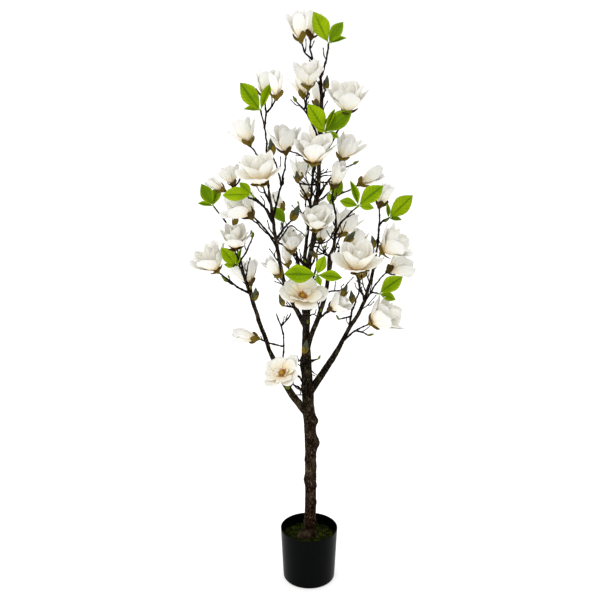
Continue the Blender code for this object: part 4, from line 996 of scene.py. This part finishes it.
def makePot(material):
    # A profile of radius and height turned about the upright axis
    rim, foot, high, inside, wall = (pot[key] for key in ("rim", "foot", "height", "floor", "wall"))
    corner = roundedEdge(foot - pot["edge"], pot["edge"], pot["edge"], np.linspace(-90, 0, 9))
    lip = roundedEdge(rim - pot["lip"], high - pot["lip"], pot["lip"], np.linspace(0, 180, 11))
    outer = [(foot + (rim - foot) * s, high * s) for s in np.linspace(0.1, 0.985, 14)]
    inner = [(r - wall, h) for r, h in reversed(outer)]
    profile = np.array([(pot["middle"], 0), (foot - pot["edge"] - 0.002, 0), *corner, *outer, *lip,
                        *inner, (foot - wall, inside + 0.001), (foot - 0.01, inside),
                        (pot["middle"], inside)])
    heap = newHeap()
    heapRings(heap, turned(profile[:, :1], fullTurn(pot["sides"]), profile[:, 1:]))
    makePiece("smoothPot", heap, [material], ["pot"])


moss = {"thickness": 0.009, "crown": 0.006, "rings": 40, "sides": 150, "lump": 0.0038, "smallLump": 0.0012,
        "tufts": 9000, "tuftHeight": (0.0016, 0.0042), "tuftRadius": 0.0007, "tuftDepth": 0.0008}


def mossPlace(reach, share, bearing):
    # A place on the mat: higher in the middle, in lumps and finer lumps
    points = turned(reach * share, bearing, 0)
    lumps = moss["lump"] * eased(points, 0.011, 21) + moss["smallLump"] * eased(points, 0.004, 22)
    points[..., 2] = fillTop + moss["thickness"] + moss["crown"] * (1 - share) + lumps
    return points


def makeMoss():
    # A closed mat by share of the radius and bearing, and small four-sided tufts spread evenly over it
    reach = pot["foot"] - pot["wall"] + (pot["rim"] - pot["foot"]) * fillTop / pot["height"] + 0.0004
    share = np.concatenate([[1.0, 1.0], np.linspace(0.985, 0.08, moss["rings"])])[:, None]
    mat = mossPlace(reach, share, fullTurn(moss["sides"]))
    mat[0, :, 2] = fillTop
    heap = newHeap()
    heapRings(heap, mat)
    chance, count = np.random.default_rng(5), moss["tufts"]
    far = np.sqrt(chance.uniform(0.05, 0.97, count))
    foot = mossPlace(reach, far, chance.uniform(0, 2 * math.pi, count)) - (0, 0, moss["tuftDepth"])
    way = unit(chance.normal(0, 1, (count, 3)) * (0.55, 0.55, 0) + (0, 0, 1))
    tip = foot + way * chance.uniform(*moss["tuftHeight"], count)[:, None]
    base = foot[:, None] + turned(moss["tuftRadius"], fullTurn(3), 0)
    faces = np.array([(0, 1, 3), (1, 2, 3), (2, 0, 3), (2, 1, 0)])
    every = (faces + (np.arange(count) * 4)[:, None, None]).reshape(-1, 3)
    # Pale and dark tufts lie in clumps of their own
    clump = eased(foot, 0.009, 23) + chance.normal(0, 0.35, count)
    heapUp(heap, np.concatenate([base, tip[:, None]], 1), [every],
           np.repeat(np.digitize(clump, [-0.05, 0.45]), 4))
    makePiece("driedMoss", heap, tinted("dyed moss, ", dyedMoss), ["moss"])


# Studio

studio = {"world": 1.03, "floor": "#E1E1E0", "floorGlow": 0.42, "floorHalf": 400.0,
          "surface": (0.85, 0.1, 0.0, 1.5), "noises": {"grit": (8, 2)}, "bumps": {"grit": (0.0002, 0.2)},
          # name: place, size and watts of each, and what they point at
          "lamps": {"key": ((-1.6, -2.2, 3.1), 1.2, 20), "top": ((0.4, 1.2, 3.4), 1.6, 10)},
          "aim": (0, 0, 0.9)}
camera = {"place": (-0.02644, -2.252, 1.470), "pitch": 15.5, "lens": 51.8, "sensor": 36.0}


def makeStudio():
    scene = bpy.context.scene
    scene.world = bpy.data.worlds.new("pale studio")
    scene.world.use_nodes = True
    feed(scene.world.node_tree.nodes["Background"], {"Color": (1, 1, 1, 1), "Strength": studio["world"]})
    # The floor is backlit and so wide that it meets the world unseen
    mesh = bpy.data.meshes.new("paleFloor")
    mesh.from_pydata(np.array([(-1, -1, 0), (1, -1, 0), (1, 1, 0), (-1, 1, 0)]) * studio["floorHalf"], [],
                     [(0, 1, 2, 3)])
    mesh.materials.append(newMaterial("backlit studio floor", studio["floor"], studio))
    feed(mesh.materials[0].node_tree.nodes["Principled BSDF"],
         {"Emission Color": (1, 1, 1, 1), "Emission Strength": studio["floorGlow"]})
    putIn("paleFloor", mesh)
    for name, (place, size, watts) in studio["lamps"].items():
        lamp = bpy.data.lights.new(name, "AREA")
        lamp.shape, lamp.size, lamp.energy = "DISK", size, watts
        holder = putIn(name, lamp)
        holder.location = place
        away = -unit(np.array(studio["aim"]) - place)
        holder.rotation_euler = (math.acos(away[2]), 0, math.atan2(away[1], away[0]) + math.pi / 2)
        holder.visible_camera = False
    lens = bpy.data.cameras.new("camera")
    lens.lens, lens.sensor_width = camera["lens"], camera["sensor"]
    scene.camera = putIn("camera", lens)
    scene.camera.location = camera["place"]
    scene.camera.rotation_euler = (math.radians(90 - camera["pitch"]), 0, 0)
    scene.view_settings.view_transform = "Standard"


barkCast = newMaterial("moulded bark", bark["olive"], bark)
makeBarkTrunk(barkCast)
makeBarkBoughs(barkCast)
makeCrown()
makePot(newMaterial("moulded black plastic", "#040505", plastic))
makeMoss()
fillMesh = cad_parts["fill"].data
fillMesh.materials.clear()
fillMesh.materials.append(newMaterial("cast cement", "#8A8883", cement))
makeStudio()
print("studio ready")
